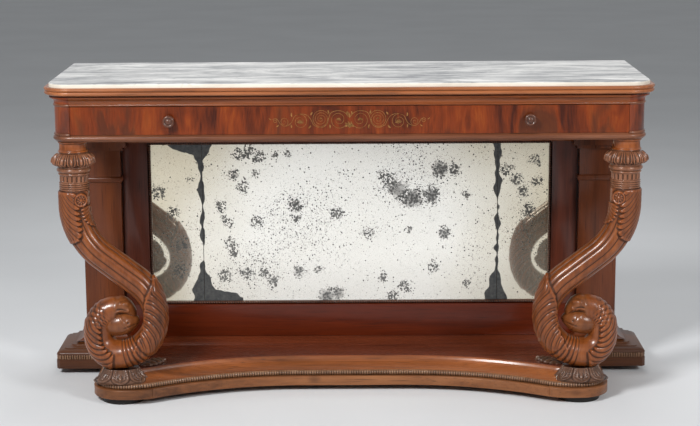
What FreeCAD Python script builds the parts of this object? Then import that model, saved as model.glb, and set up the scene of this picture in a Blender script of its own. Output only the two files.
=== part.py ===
import FreeCAD, Part
import math
import os
from FreeCAD import Vector

# Pier table with a marble top, one frieze drawer, carved scroll supports and a mirrored back.
# Millimetres, +Z up, +X to the right, and the front faces -Y.
# The origin is on the floor under the middle of the table's bounding box.

# Whole table
TABLE_HEIGHT = 935.0
TABLE_DEPTH = 544.0
CUT_OVERRUN = 5.0
DOWEL_FIT = 0.1
QUARTER_TURN = 90.0
FULL_TURN = 360.0
SECTION_POINTS = 12

# Marble slab
MARBLE_END_INSET = 53.0
MARBLE_THICKNESS = 20.0
MARBLE_EDGE_RADIUS = 3.0
MARBLE_PROUD = 11.0
MARBLE_GAP = 0.5

# Cornice round the slab
RIM_WIDTH = 14.0
CORNICE_PROJECTION = 28.0
CORNICE_HEIGHT = 22.0
CORNICE_BACKING = 30.0
UPPER_ROLL_HEIGHT = 10.0
UPPER_ROLL_BULGE = 4.6
LOWER_ROLL_BULGE = 5.5
LOWER_ROLL_SETBACK = 1.0

# Frieze
CORNER_RADIUS = 48.0
UPPER_RAIL_HEIGHT = 32.0
UPPER_RAIL_DEPTH = 30.0
QUIRK_HEIGHT = 5.0
QUIRK_PROJECTION = 8.0
FILLET_HEIGHT = 4.0
BEAD_HEIGHT = 6.0
BEAD_PROJECTION = 2.6
COVE_PROJECTION = 14.0
COVE_FOOT = 1.5
COVE_BELLY_SHARE = 0.29
DRAWER_OPENING_HEIGHT = 82.0
LOWER_RAIL_HEIGHT = 19.0
LOWER_RAIL_DEPTH = 94.0
LOWER_ROLL_PROJECTION = 6.0
LOWER_ROLL_FILLET = 2.0
FRIEZE_BOARD = 20.0
FRIEZE_BACK = 22.0

# Drawer
DRAWER_FRONT_THICKNESS = 22.0
DRAWER_SIDE_GAP = 1.0
DRAWER_TOP_GAP = 1.5
RUNNING_GAP = 0.4
DRAWER_SIDE_INSET = 17.0
DRAWER_SIDE_THICKNESS = 12.0
DRAWER_SIDE_HEIGHT = 71.0
DRAWER_DEPTH = 394.0
DRAWER_BOTTOM_RISE = 7.0
DRAWER_BOTTOM_THICKNESS = 8.0
RUNNER_WIDTH = 71.0
GUIDE_HEIGHT = 18.0
GUIDE_GAP = 0.6
KICKER_GAP = 1.5

# Knobs
KNOB_SPACING = 1016.0
KNOB_ROSE_RADIUS = 15.0
KNOB_ROSE_THICKNESS = 4.0
KNOB_NECK_RADIUS = 8.0
KNOB_RADIUS = 17.0
KNOB_PROJECTION = 26.0
KNOB_BUTTON_RADIUS = 6.0
KNOB_BUTTON_RISE = 2.5
KNOB_RIM_THICKNESS = 9.0
KNOB_SHANK_RADIUS = 6.0

# Brass scroll inlay on the drawer front
INLAY_FIRST_RADIUS = 26.0
INLAY_LINE = 2.2
INLAY_THICKNESS = 0.4
INLAY_RISE = 5.0
INLAY_SCROLL_COUNT = 5
INLAY_SHRINK_SHARE = 0.93
INLAY_CURL_START_SHARE = 0.86
INLAY_CURL_SHARE = 0.74
INLAY_CURL_TURNS = 4

# Neck of each support: spool, lobed collar, bell with rings
SPOOL_HEIGHT = 32.0
SPOOL_RING_HEIGHT = 11.0
SPOOL_RING_RADIUS = 43.0
SPOOL_RADIUS = 36.0
COLLAR_HEIGHT = 46.0
COLLAR_RADIUS = 64.0
COLLAR_TOP_RADIUS = 40.0
COLLAR_BOTTOM_RADIUS = 47.0
COLLAR_BELLY_SHARE = 0.42
BELL_HEIGHT = 79.0
BELL_TOP_HEIGHT = 14.0
BELL_TOP_RADIUS = 44.0
BELL_WAIST_RADIUS = 37.5
RING_BAND = 32.0
RING_RADIUS = 41.0
RING_COUNT = 4

# Scroll of each support; its path and sections are shares of the path's drop
SCROLL_LEAD_SHARE = 0.065
SCROLL_SHOULDER_SHARE = 0.401
SCROLL_STRAIGHT_SHARE = 0.249
SCROLL_ENTRY_SHARE = 0.289
SCROLL_LOWER_SHARE = 0.236
SCROLL_OUTER_SHARE = 0.116
SCROLL_NECK_SHARE = 0.046
SCROLL_CREST_SHARE = 0.106
SCROLL_SLANT_ANGLE = 52.4
SCROLL_STEPS = 5
SEAT_FLAT = 4.0

# Sections of the scroll: half thickness in its plane, then half depth from front to back
LEG_TOP_SHARES = (0.0905, 0.0905)
LEG_STEM_SHARES = (0.0905, 0.0926)
LEG_SLANT_SHARES = (0.0884, 0.0968)
LEG_ENTRY_SHARES = (0.0905, 0.1010)
LEG_INNER_SHARES = (0.0716, 0.1010)
LEG_FOOT_SHARES = (0.0905, 0.1052)
LEG_BACK_SHARES = (0.0758, 0.0884)
LEG_NECK_SHARES = (0.0779, 0.0758)

# Bird head that ends the scroll: place along its bend, then sections as above
HEAD_BEND_SHARE = 0.148
HEAD_TURN = 60.0
CROWN_SHARES = (0.22, 0.0968, 0.0842)
BROW_SHARES = (0.44, 0.0905, 0.0779)
BILL_ROOT_SHARES = (0.64, 0.0631, 0.0547)
BILL_SHARES = (0.84, 0.0463, 0.0421)
BILL_TIP_SHARES = (1.0, 0.0189, 0.0168)

# Leaf boss under the scroll
BOSS_SHIFT = 14.0
BOSS_RISE = 8.0
BOSS_HALF_WIDTH = 78.0
BOSS_HALF_DEPTH = 57.0
BOSS_TOP_HALF_WIDTH = 54.0
BOSS_TOP_HALF_DEPTH = 42.0
BOSS_FLARE_SHARES = ((0.0, 0.0), (0.30, 0.48), (0.65, 0.85), (1.0, 1.0))

# Dowels
DOWEL_RADIUS = 10.0
DOWEL_UP = 16.0
DOWEL_DOWN = 25.0

# Base platform
PAD_HEIGHT = 17.0
PAD_INSET = 12.0
FRONT_PAD_RADIUS = 62.0
BACK_PAD_RADIUS = 45.0
FASCIA_HEIGHT = 28.0
FASCIA_THICKNESS = 30.0
RIB_BAND_HEIGHT = 15.0
RIB_LEDGE = 8.0
RIB_DEPTH = 10.0
RIB_ROUND_SHARES = ((0.0, 0.0), (0.0, 0.4), (0.2, 0.75), (0.55, 0.93), (1.0, 1.0))
CAVETTO_HEIGHT = 30.0
CAVETTO_DEPTH = 55.0
CAVETTO_STEPS = 8
FOOT_OUTER_REACH = 88.0
FOOT_FRONT_REACH = 67.0
FOOT_INNER_REACH = 25.0
FOOT_SEAM_REACH = 90.0
FOOT_CORNER_RADIUS = 90.0
FOOT_NOSE_RADIUS = 150.0
FOOT_BLOCK_DEPTH = 160.0
PLATFORM_WAIST = 190.0
HOLLOW_FLAT = 300.0
BATTEN_WIDTH = 60.0
BATTEN_HEIGHT = 20.0
BATTEN_SPACING = 300.0
BATTEN_LENGTH = 140.0
BATTEN_COUNT = 3

# Back plinth
PLINTH_WIDTH = 1806.0
PLINTH_DEPTH = 205.0
PLINTH_OVOLO_DEPTH = 28.0
PLINTH_BACK_RAIL = 22.0

# Pilasters
PILASTER_INSET = 85.0
PILASTER_WIDTH = 118.0
PILASTER_DEPTH = 123.0
PILASTER_BASE_HEIGHT = 20.0
PILASTER_BASE_REACH = 30.0
PILASTER_BASE_TOP_REACH = 4.0
CAPITAL_HEIGHT = 76.0
CAPITAL_REACH = 20.0
CAPITAL_FILLET_HEIGHT = 11.0
CAPITAL_FILLET_REACH = 10.0
ASTRAGAL_DROP = 82.0
ASTRAGAL_HEIGHT = 18.0
ASTRAGAL_REACH = 6.0

# Mirror frame, glass and backboard
FRAME_SETBACK = 26.0
FRAME_THICKNESS = 25.0
STILE_WIDTH = 80.0
BOTTOM_RAIL_HEIGHT = 100.0
TOP_RAIL_HEIGHT = 69.0
SLIP_WIDTH = 9.0
SLIP_DEPTH = 12.0
SLIP_SETBACK = 6.0
GLASS_THICKNESS = 5.0
GLASS_GAP = 0.5
SIDE_PLATE_WIDTH = 165.0
BACKBOARD_THICKNESS = 10.0
BACKBOARD_MARGIN = 0.5
BACKBOARD_DROP = 5.0
SCREW_RADIUS = 2.0
SCREW_LENGTH = 22.0
SCREW_HEAD_RADIUS = 4.5
SCREW_HEAD_HEIGHT = 2.5
SCREW_INSET = 40.0
SCREW_SPREAD = 480.0

# Levels above the floor
RIM_TOP = TABLE_HEIGHT - MARBLE_PROUD
MARBLE_BOTTOM = TABLE_HEIGHT - MARBLE_THICKNESS
CORNICE_BOTTOM = RIM_TOP - CORNICE_HEIGHT
OPENING_TOP = CORNICE_BOTTOM - UPPER_RAIL_HEIGHT
OPENING_BOTTOM = OPENING_TOP - DRAWER_OPENING_HEIGHT
FRIEZE_BOTTOM = OPENING_BOTTOM - LOWER_RAIL_HEIGHT
COLLAR_TOP = FRIEZE_BOTTOM - SPOOL_HEIGHT
BELL_TOP = COLLAR_TOP - COLLAR_HEIGHT
LEG_TOP = BELL_TOP - BELL_HEIGHT
FASCIA_TOP = PAD_HEIGHT + FASCIA_HEIGHT
RIB_TOP = FASCIA_TOP + RIB_BAND_HEIGHT
PLATFORM_TOP = RIB_TOP + CAVETTO_HEIGHT
SEAT_LEVEL = PLATFORM_TOP + BOSS_RISE

# Plan positions
BACK_Y = TABLE_DEPTH / 2
CORNICE_FRONT_Y = -TABLE_DEPTH / 2
FRIEZE_FRONT_Y = CORNICE_FRONT_Y + CORNICE_PROJECTION
PLINTH_HALF = PLINTH_WIDTH / 2
MARBLE_HALF = PLINTH_HALF - MARBLE_END_INSET
FRIEZE_HALF = MARBLE_HALF + RIM_WIDTH - CORNICE_PROJECTION
AXIS_X = FRIEZE_HALF - CORNER_RADIUS
AXIS_Y = FRIEZE_FRONT_Y + CORNER_RADIUS
FOOT_FRONT_Y = AXIS_Y - FOOT_FRONT_REACH
PLINTH_FRONT_Y = BACK_Y - PLINTH_DEPTH
HOLLOW_Y = PLINTH_FRONT_Y - PLATFORM_WAIST
PILASTER_OUTER = PLINTH_HALF - PILASTER_INSET
BAY_HALF = PILASTER_OUTER - PILASTER_WIDTH
PILASTER_FRONT_Y = BACK_Y - PILASTER_DEPTH
FRAME_FRONT_Y = PILASTER_FRONT_Y + FRAME_SETBACK
FRAME_BACK_Y = FRAME_FRONT_Y + FRAME_THICKNESS
SLIP_FRONT_Y = FRAME_FRONT_Y + SLIP_SETBACK
GLASS_FRONT_Y = SLIP_FRONT_Y + SLIP_DEPTH
RIB_INSET = RIB_LEDGE + RIB_DEPTH


def box(x0, x1, y0, y1, z0, z1):
    """A box between two corners."""
    return Part.makeBox(x1 - x0, y1 - y0, z1 - z0, Vector(x0, y0, z0))


def mirrored(shape):
    """The same shape on the other side of the middle plane."""
    return shape.mirror(Vector(0, 0, 0), Vector(1, 0, 0))


def save(name, solids):
    """Write one named node; a list of solids becomes one group."""
    shape = solids[0] if len(solids) == 1 else Part.makeCompound(solids)
    shape.exportStep("parts/" + name + ".step")


def save_pair(name, solids):
    """Write a right-hand node and its left-hand mirror image."""
    save("right_" + name, solids)
    save("left_" + name, [mirrored(solid) for solid in solids])


def section_face(path, place):
    """A flat face from a path; a step of four numbers is an arc through its first point."""
    edges = []
    here = path[0]
    for step in list(path[1:]) + [path[0]]:
        end = step[-2:]
        if len(step) == 4:
            edges.append(Part.Arc(place(here), place(step[:2]), place(end)).toShape())
        else:
            edges.append(Part.LineSegment(place(here), place(end)).toShape())
        here = end
    return Part.Face(Part.Wire(edges))


def front_place(point):
    """A moulding section stood across the front, at the left corner axis."""
    return Vector(-AXIS_X, FRIEZE_FRONT_Y - point[0], point[1])


def side_place(point):
    """A moulding section stood across the right side, at the corner axis."""
    return Vector(FRIEZE_HALF + point[0], AXIS_Y, point[1])


def front_length(path):
    """A moulding along the front, between the corner axes."""
    return section_face(path, front_place).extrude(Vector(AXIS_X + AXIS_X, 0, 0))


def corner_turn(path):
    """A moulding turned round the right front corner."""
    face = section_face(path, side_place)
    return face.revolve(Vector(AXIS_X, AXIS_Y, 0), Vector(0, 0, 1), -QUARTER_TURN)


def side_length(path):
    """A moulding along the right side, from the corner axis to the back."""
    return section_face(path, side_place).extrude(Vector(0, BACK_Y - AXIS_Y, 0))


def rounded_slab(half, front, back, bottom, top, radius):
    """A slab with rounded front corners."""
    slab = box(-half, half, front, back, bottom, top)
    corners = []
    for edge in slab.Edges:
        middle = edge.CenterOfMass
        upright = abs(edge.BoundBox.ZLength - (top - bottom)) < DOWEL_FIT
        if upright and middle.y < (front + back) / 2:
            corners.append(edge)
    return slab.makeFillet(radius, corners)


def turned(path, centre):
    """A turned solid about an upright axis; the path holds radius and height."""
    face = section_face(path, lambda point: centre + Vector(point[0], 0, point[1]))
    return face.revolve(centre, Vector(0, 0, 1), FULL_TURN)


def upright_bore(x, y, bottom, top):
    """The hole for one dowel."""
    return Part.makeCylinder(DOWEL_RADIUS + DOWEL_FIT, top - bottom, Vector(x, y, bottom))


# Marble slab and cornice
def marble_top():
    front = CORNICE_FRONT_Y + RIM_WIDTH
    radius = CORNER_RADIUS + CORNICE_PROJECTION - RIM_WIDTH
    slab = rounded_slab(MARBLE_HALF, front, BACK_Y, MARBLE_BOTTOM, TABLE_HEIGHT, radius)
    top_edges = [e for e in slab.Edges if e.BoundBox.ZMin > MARBLE_BOTTOM + DOWEL_FIT]
    eased = [e for e in top_edges if e.CenterOfMass.y < BACK_Y - DOWEL_FIT]
    return slab.makeFillet(MARBLE_EDGE_RADIUS, eased)


def cornice_path():
    rim = CORNICE_PROJECTION
    low = rim - LOWER_ROLL_SETBACK
    wall = rim - RIM_WIDTH + MARBLE_GAP
    roll = RIM_TOP - UPPER_ROLL_HEIGHT
    low_middle = (CORNICE_BOTTOM + roll) / 2
    high_middle = (roll + RIM_TOP) / 2
    return [
        (-CORNICE_BACKING, CORNICE_BOTTOM),
        (low - LOWER_ROLL_BULGE, CORNICE_BOTTOM),
        (low, low_middle, low - LOWER_ROLL_BULGE, roll),
        (rim - UPPER_ROLL_BULGE, roll),
        (rim, high_middle, rim - UPPER_ROLL_BULGE, RIM_TOP),
        (wall, RIM_TOP),
        (wall, MARBLE_BOTTOM),
        (-CORNICE_BACKING, MARBLE_BOTTOM),
    ]


def side_cornice():
    path = cornice_path()
    return corner_turn(path).fuse(side_length(path)).removeSplitter()


def top_board():
    half = FRIEZE_HALF - CORNICE_BACKING
    front = FRIEZE_FRONT_Y + CORNICE_BACKING
    radius = CORNER_RADIUS - CORNICE_BACKING
    return rounded_slab(half, front, BACK_Y, CORNICE_BOTTOM, MARBLE_BOTTOM, radius)


# Frieze rails, sides and corner columns
def upper_path(backing):
    fillet_top = CORNICE_BOTTOM - QUIRK_HEIGHT
    cove_top = fillet_top - FILLET_HEIGHT
    bead_top = OPENING_TOP + BEAD_HEIGHT
    belly_p = COVE_FOOT + (COVE_PROJECTION - COVE_FOOT) * COVE_BELLY_SHARE
    belly_z = cove_top - (cove_top - bead_top) * COVE_BELLY_SHARE
    return [
        (-backing, OPENING_TOP),
        (0, OPENING_TOP),
        (BEAD_PROJECTION, (OPENING_TOP + bead_top) / 2, 0, bead_top),
        (COVE_FOOT, bead_top),
        (belly_p, belly_z, COVE_PROJECTION, cove_top),
        (COVE_PROJECTION, fillet_top),
        (QUIRK_PROJECTION, fillet_top),
        (QUIRK_PROJECTION, CORNICE_BOTTOM),
        (-backing, CORNICE_BOTTOM),
    ]


def board_path(backing):
    return [
        (-backing, OPENING_BOTTOM),
        (0, OPENING_BOTTOM),
        (0, OPENING_TOP),
        (-backing, OPENING_TOP),
    ]


def lower_path(backing):
    middle = (FRIEZE_BOTTOM + OPENING_BOTTOM) / 2
    low = FRIEZE_BOTTOM + LOWER_ROLL_FILLET
    high = OPENING_BOTTOM - LOWER_ROLL_FILLET
    return [
        (-backing, FRIEZE_BOTTOM),
        (0, FRIEZE_BOTTOM),
        (0, low),
        (LOWER_ROLL_PROJECTION, middle, 0, high),
        (0, OPENING_BOTTOM),
        (-backing, OPENING_BOTTOM),
    ]


def corner_column():
    board = corner_turn(board_path(CORNER_RADIUS))
    return board.fuse(corner_turn(upper_path(CORNER_RADIUS))).removeSplitter()


def frieze_side():
    lower = side_length(lower_path(FRIEZE_BOARD))
    board = side_length(board_path(FRIEZE_BOARD))
    upper = side_length(upper_path(FRIEZE_BOARD))
    return lower.fuse([board, upper]).removeSplitter()


def lower_rail():
    inner = FRIEZE_HALF - FRIEZE_BOARD
    back = FRIEZE_FRONT_Y + LOWER_RAIL_DEPTH
    turn = corner_turn(lower_path(CORNER_RADIUS))
    block = box(AXIS_X, inner, AXIS_Y, back, FRIEZE_BOTTOM, OPENING_BOTTOM)
    rail = front_length(lower_path(LOWER_RAIL_DEPTH))
    rail = rail.fuse([turn, block, mirrored(turn), mirrored(block)]).removeSplitter()
    for x in (-AXIS_X, AXIS_X):
        rail = rail.cut(upright_bore(x, AXIS_Y, FRIEZE_BOTTOM - CUT_OVERRUN, FRIEZE_BOTTOM + DOWEL_UP))
    return rail


def frieze_back_rail():
    inner = FRIEZE_HALF - FRIEZE_BOARD
    return box(-inner, inner, BACK_Y - FRIEZE_BACK, BACK_Y, FRIEZE_BOTTOM, CORNICE_BOTTOM)


# Runners, guides and kickers for the drawer
def right_runner():
    outer = FRIEZE_HALF - FRIEZE_BOARD
    front = FRIEZE_FRONT_Y + LOWER_RAIL_DEPTH
    return box(outer - RUNNER_WIDTH, outer, front, BACK_Y - FRIEZE_BACK, FRIEZE_BOTTOM, OPENING_BOTTOM)


def right_guide():
    outer = FRIEZE_HALF - FRIEZE_BOARD
    inner = AXIS_X - DRAWER_SIDE_INSET + GUIDE_GAP
    front = FRIEZE_FRONT_Y + LOWER_RAIL_DEPTH
    top = OPENING_BOTTOM + GUIDE_HEIGHT
    return box(inner, outer, front, BACK_Y - FRIEZE_BACK, OPENING_BOTTOM, top)


def right_kicker():
    outer = FRIEZE_HALF - FRIEZE_BOARD
    bottom = OPENING_BOTTOM + RUNNING_GAP + DRAWER_SIDE_HEIGHT + KICKER_GAP
    front = FRIEZE_FRONT_Y + LOWER_RAIL_DEPTH
    return box(outer - RUNNER_WIDTH, outer, front, BACK_Y - FRIEZE_BACK, bottom, CORNICE_BOTTOM)


# Drawer
DRAWER_BACK_Y = FRIEZE_FRONT_Y + DRAWER_DEPTH
DRAWER_LINING_Y = FRIEZE_FRONT_Y + DRAWER_FRONT_THICKNESS
DRAWER_SIDE_X = AXIS_X - DRAWER_SIDE_INSET
DRAWER_INNER_X = DRAWER_SIDE_X - DRAWER_SIDE_THICKNESS
DRAWER_FLOOR = OPENING_BOTTOM + RUNNING_GAP
KNOB_Z = (OPENING_BOTTOM + OPENING_TOP) / 2
INLAY_Z = KNOB_Z + INLAY_RISE


def drawer_front():
    half = AXIS_X - DRAWER_SIDE_GAP
    bottom = OPENING_BOTTOM + DRAWER_SIDE_GAP
    front = box(-half, half, FRIEZE_FRONT_Y, DRAWER_LINING_Y, bottom, OPENING_TOP - DRAWER_TOP_GAP)
    for x in (-KNOB_SPACING / 2, KNOB_SPACING / 2):
        start = Vector(x, FRIEZE_FRONT_Y - CUT_OVERRUN, KNOB_Z)
        length = DRAWER_FRONT_THICKNESS + CUT_OVERRUN + CUT_OVERRUN
        front = front.cut(Part.makeCylinder(KNOB_SHANK_RADIUS + DOWEL_FIT, length, start, Vector(0, 1, 0)))
    return front


def drawer_side():
    top = DRAWER_FLOOR + DRAWER_SIDE_HEIGHT
    return box(DRAWER_INNER_X, DRAWER_SIDE_X, DRAWER_LINING_Y, DRAWER_BACK_Y, DRAWER_FLOOR, top)


def drawer_back():
    front = DRAWER_BACK_Y - DRAWER_SIDE_THICKNESS
    bottom = DRAWER_FLOOR + DRAWER_BOTTOM_RISE + DRAWER_BOTTOM_THICKNESS
    top = DRAWER_FLOOR + DRAWER_SIDE_HEIGHT
    return box(-DRAWER_INNER_X, DRAWER_INNER_X, front, DRAWER_BACK_Y, bottom, top)


def drawer_bottom():
    bottom = DRAWER_FLOOR + DRAWER_BOTTOM_RISE
    top = bottom + DRAWER_BOTTOM_THICKNESS
    return box(-DRAWER_INNER_X, DRAWER_INNER_X, DRAWER_LINING_Y, DRAWER_BACK_Y, bottom, top)


def right_knob():
    """A turned knob with a ringed face, its shank glued through the drawer front."""
    rim = KNOB_PROJECTION - KNOB_BUTTON_RISE
    shoulder = rim - KNOB_RIM_THICKNESS
    path = [
        (0, -DRAWER_FRONT_THICKNESS),
        (KNOB_SHANK_RADIUS, -DRAWER_FRONT_THICKNESS),
        (KNOB_SHANK_RADIUS, 0),
        (KNOB_ROSE_RADIUS, 0),
        (KNOB_ROSE_RADIUS, KNOB_ROSE_THICKNESS),
        (KNOB_NECK_RADIUS, KNOB_ROSE_THICKNESS),
        (KNOB_NECK_RADIUS, shoulder),
        (KNOB_RADIUS, (shoulder + rim) / 2, KNOB_BUTTON_RADIUS, rim),
        (KNOB_BUTTON_RADIUS, KNOB_PROJECTION),
        (0, KNOB_PROJECTION),
    ]
    knob = turned(path, Vector(0, 0, 0))
    knob.rotate(Vector(0, 0, 0), Vector(1, 0, 0), QUARTER_TURN)
    knob.translate(Vector(KNOB_SPACING / 2, FRIEZE_FRONT_Y, KNOB_Z))
    return knob


def half_ring(x, radius, side):
    """Half a flat brass ring on the drawer face, above (side 1) or below (side -1) its centre line."""
    outer = radius + INLAY_LINE / 2
    inner = radius - INLAY_LINE / 2
    path = [
        (x - outer, INLAY_Z),
        (x, INLAY_Z + side * outer, x + outer, INLAY_Z),
        (x + inner, INLAY_Z),
        (x, INLAY_Z + side * inner, x - inner, INLAY_Z),
    ]
    face = section_face(path, lambda point: Vector(point[0], FRIEZE_FRONT_Y, point[1]))
    return face.extrude(Vector(0, -INLAY_THICKNESS, 0))


def brass_inlay():
    """A running wave of half rings each way from the middle, with a curl inside every wave."""
    pieces = []
    start = 0
    radius = INLAY_FIRST_RADIUS
    side = 1
    for _ in range(INLAY_SCROLL_COUNT):
        pieces.append(half_ring(start + radius, radius, side))
        curl = (radius - INLAY_LINE) * INLAY_CURL_START_SHARE
        end = start + radius + radius - INLAY_LINE - INLAY_LINE
        curl_side = -side
        for turn in range(INLAY_CURL_TURNS):
            pieces.append(half_ring(end - curl if turn % 2 == 0 else end + curl, curl, curl_side))
            end = end - 2 * curl if turn % 2 == 0 else end + 2 * curl
            curl = curl * INLAY_CURL_SHARE
            curl_side = -curl_side
        start = start + radius + radius
        radius = radius * INLAY_SHRINK_SHARE
        side = -side
    return pieces + [mirrored(piece) for piece in pieces]


# Carved supports
def spool():
    """The turned spool between the frieze and the collar."""
    ring = FRIEZE_BOTTOM - SPOOL_RING_HEIGHT
    path = [
        (0, COLLAR_TOP),
        (COLLAR_TOP_RADIUS, COLLAR_TOP),
        (SPOOL_RADIUS, (COLLAR_TOP + ring) / 2, COLLAR_TOP_RADIUS, ring),
        (SPOOL_RING_RADIUS, ring),
        (SPOOL_RING_RADIUS, FRIEZE_BOTTOM),
        (0, FRIEZE_BOTTOM),
    ]
    solid = turned(path, Vector(AXIS_X, AXIS_Y, 0))
    return solid.cut(upright_bore(AXIS_X, AXIS_Y, FRIEZE_BOTTOM - DOWEL_DOWN, FRIEZE_BOTTOM + CUT_OVERRUN))


def leaf_collar():
    """The lobed collar as a bulging turned ring."""
    belly = BELL_TOP + COLLAR_HEIGHT * COLLAR_BELLY_SHARE
    path = [
        (0, BELL_TOP),
        (COLLAR_BOTTOM_RADIUS, BELL_TOP),
        (COLLAR_RADIUS, belly, COLLAR_TOP_RADIUS, COLLAR_TOP),
        (0, COLLAR_TOP),
    ]
    return turned(path, Vector(AXIS_X, AXIS_Y, 0))


def bell():
    """The bell under the collar, closed by a band of turned rings."""
    shoulder = BELL_TOP - BELL_TOP_HEIGHT
    band_top = LEG_TOP + RING_BAND
    step = RING_BAND / RING_COUNT
    path = [(0, LEG_TOP), (BELL_WAIST_RADIUS, LEG_TOP)]
    for index in range(RING_COUNT):
        low = LEG_TOP + step * index
        path.append((RING_RADIUS, low + step / 2, BELL_WAIST_RADIUS, low + step))
    path.append((BELL_WAIST_RADIUS, (band_top + shoulder) / 2))
    path.append((BELL_TOP_RADIUS, shoulder))
    path.append((BELL_TOP_RADIUS, BELL_TOP))
    path.append((0, BELL_TOP))
    return turned(path, Vector(AXIS_X, AXIS_Y, 0))


def scroll_plan():
    """Path steps of the scroll: size share, turn, and the section where each step ends."""
    return (
        (SCROLL_LEAD_SHARE, 0, LEG_STEM_SHARES),
        (SCROLL_SHOULDER_SHARE, SCROLL_SLANT_ANGLE, LEG_SLANT_SHARES),
        (SCROLL_STRAIGHT_SHARE, 0, LEG_ENTRY_SHARES),
        (SCROLL_ENTRY_SHARE, -SCROLL_SLANT_ANGLE, LEG_INNER_SHARES),
        (SCROLL_LOWER_SHARE, -QUARTER_TURN, LEG_FOOT_SHARES),
        (SCROLL_OUTER_SHARE, -QUARTER_TURN, LEG_BACK_SHARES),
        (SCROLL_NECK_SHARE, 0, LEG_BACK_SHARES),
        (SCROLL_CREST_SHARE, -QUARTER_TURN, LEG_NECK_SHARES),
    )


def advance(place, size, turn, share):
    """Move along part of a straight (no turn) or an arc; place holds inward, up and heading."""
    inward, up, heading = place
    if turn == 0:
        angle = math.radians(heading)
        return (inward + size * share * math.cos(angle), up + size * share * math.sin(angle), heading)
    side = math.copysign(1, turn)
    old = math.radians(heading)
    new = math.radians(heading + turn * share)
    moved_in = side * size * (math.sin(new) - math.sin(old))
    moved_up = -side * size * (math.cos(new) - math.cos(old))
    return (inward + moved_in, up + moved_up, heading + turn * share)


def scroll_drop_share():
    """How far the path falls to its lowest point, in shares."""
    place = (0, 0, -QUARTER_TURN)
    lowest = 0
    for size, turn, _ in scroll_plan():
        place = advance(place, size, turn, 1)
        lowest = min(lowest, place[1])
    return -lowest


SCROLL_UNIT = (LEG_TOP - SEAT_LEVEL + SEAT_FLAT) / (scroll_drop_share() + LEG_FOOT_SHARES[0])


def scroll_stations():
    """Stations along the scroll: place, half thickness in the plane, half depth."""
    place = (0, LEG_TOP, -QUARTER_TURN)
    thick, deep = LEG_TOP_SHARES
    stations = [(place, thick * SCROLL_UNIT, deep * SCROLL_UNIT)]
    for size, turn, (end_thick, end_deep) in scroll_plan():
        for step in range(1, SCROLL_STEPS + 1):
            share = step / SCROLL_STEPS
            ease = share * share * (3 - 2 * share)
            now = advance(place, size * SCROLL_UNIT, turn, share)
            here_thick = thick + (end_thick - thick) * ease
            here_deep = deep + (end_deep - deep) * ease
            stations.append((now, here_thick * SCROLL_UNIT, here_deep * SCROLL_UNIT))
        place = now
        thick = end_thick
        deep = end_deep
    return stations


def round_wire(centre, across, along):
    """A smooth closed oval about a centre, from two half-axis vectors."""
    points = []
    for index in range(SECTION_POINTS):
        angle = math.radians(FULL_TURN * index / SECTION_POINTS)
        points.append(centre + across * math.cos(angle) + along * math.sin(angle))
    curve = Part.BSplineCurve()
    curve.interpolate(Points=points, PeriodicFlag=True)
    return Part.Wire(curve.toShape())


def scroll_wire(station):
    (inward, up, heading), radius, depth = station
    angle = math.radians(heading)
    centre = Vector(AXIS_X - inward, AXIS_Y, up)
    across = Vector(math.sin(angle), 0, math.cos(angle)) * radius
    return round_wire(centre, across, Vector(0, depth, 0))


def lowest_inward():
    """How far inward the scroll touches its seat."""
    stations = [place for place, _, _ in scroll_stations()]
    return min(stations, key=lambda place: place[1])[0]


SCROLL_X = AXIS_X - lowest_inward()
BOSS_X = SCROLL_X - BOSS_SHIFT
FOOT_OUTER = BOSS_X + FOOT_OUTER_REACH
FOOT_NOSE_X = BOSS_X - FOOT_INNER_REACH
FOOT_SEAM_X = BOSS_X - FOOT_SEAM_REACH
SCROLL_DOWEL_LOW = PLATFORM_TOP - DOWEL_DOWN
SCROLL_DOWEL_HIGH = SEAT_LEVEL + DOWEL_DOWN


def scroll_leg():
    """The S-scroll, lofted step by step along its path and cut flat where it sits on the boss."""
    stations = scroll_stations()
    faces = [Part.Face(scroll_wire(stations[0])), Part.Face(scroll_wire(stations[-1]))]
    for start in range(0, len(stations) - 1, SCROLL_STEPS):
        wires = [scroll_wire(station) for station in stations[start:start + SCROLL_STEPS + 1]]
        faces.extend(Part.makeLoft(wires, False, False).Faces)
    shell = Part.Shell(faces)
    shell.sewShape()
    leg = Part.Solid(shell)
    below = box(0, PLINTH_HALF, CORNICE_FRONT_Y, BACK_Y, -CUT_OVERRUN, SEAT_LEVEL)
    leg = leg.cut(below)
    return leg.cut(upright_bore(SCROLL_X, AXIS_Y, SEAT_LEVEL - CUT_OVERRUN, SCROLL_DOWEL_HIGH))


def bird_head():
    """The head that goes on from the end of the scroll, bending down to its bill."""
    neck = scroll_stations()[-1]
    wires = [scroll_wire(neck)]
    for along, thick, deep in (CROWN_SHARES, BROW_SHARES, BILL_ROOT_SHARES, BILL_SHARES, BILL_TIP_SHARES):
        now = advance(neck[0], HEAD_BEND_SHARE * SCROLL_UNIT, -HEAD_TURN, along)
        wires.append(scroll_wire((now, thick * SCROLL_UNIT, deep * SCROLL_UNIT)))
    return Part.makeLoft(wires, True, False)


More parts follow.
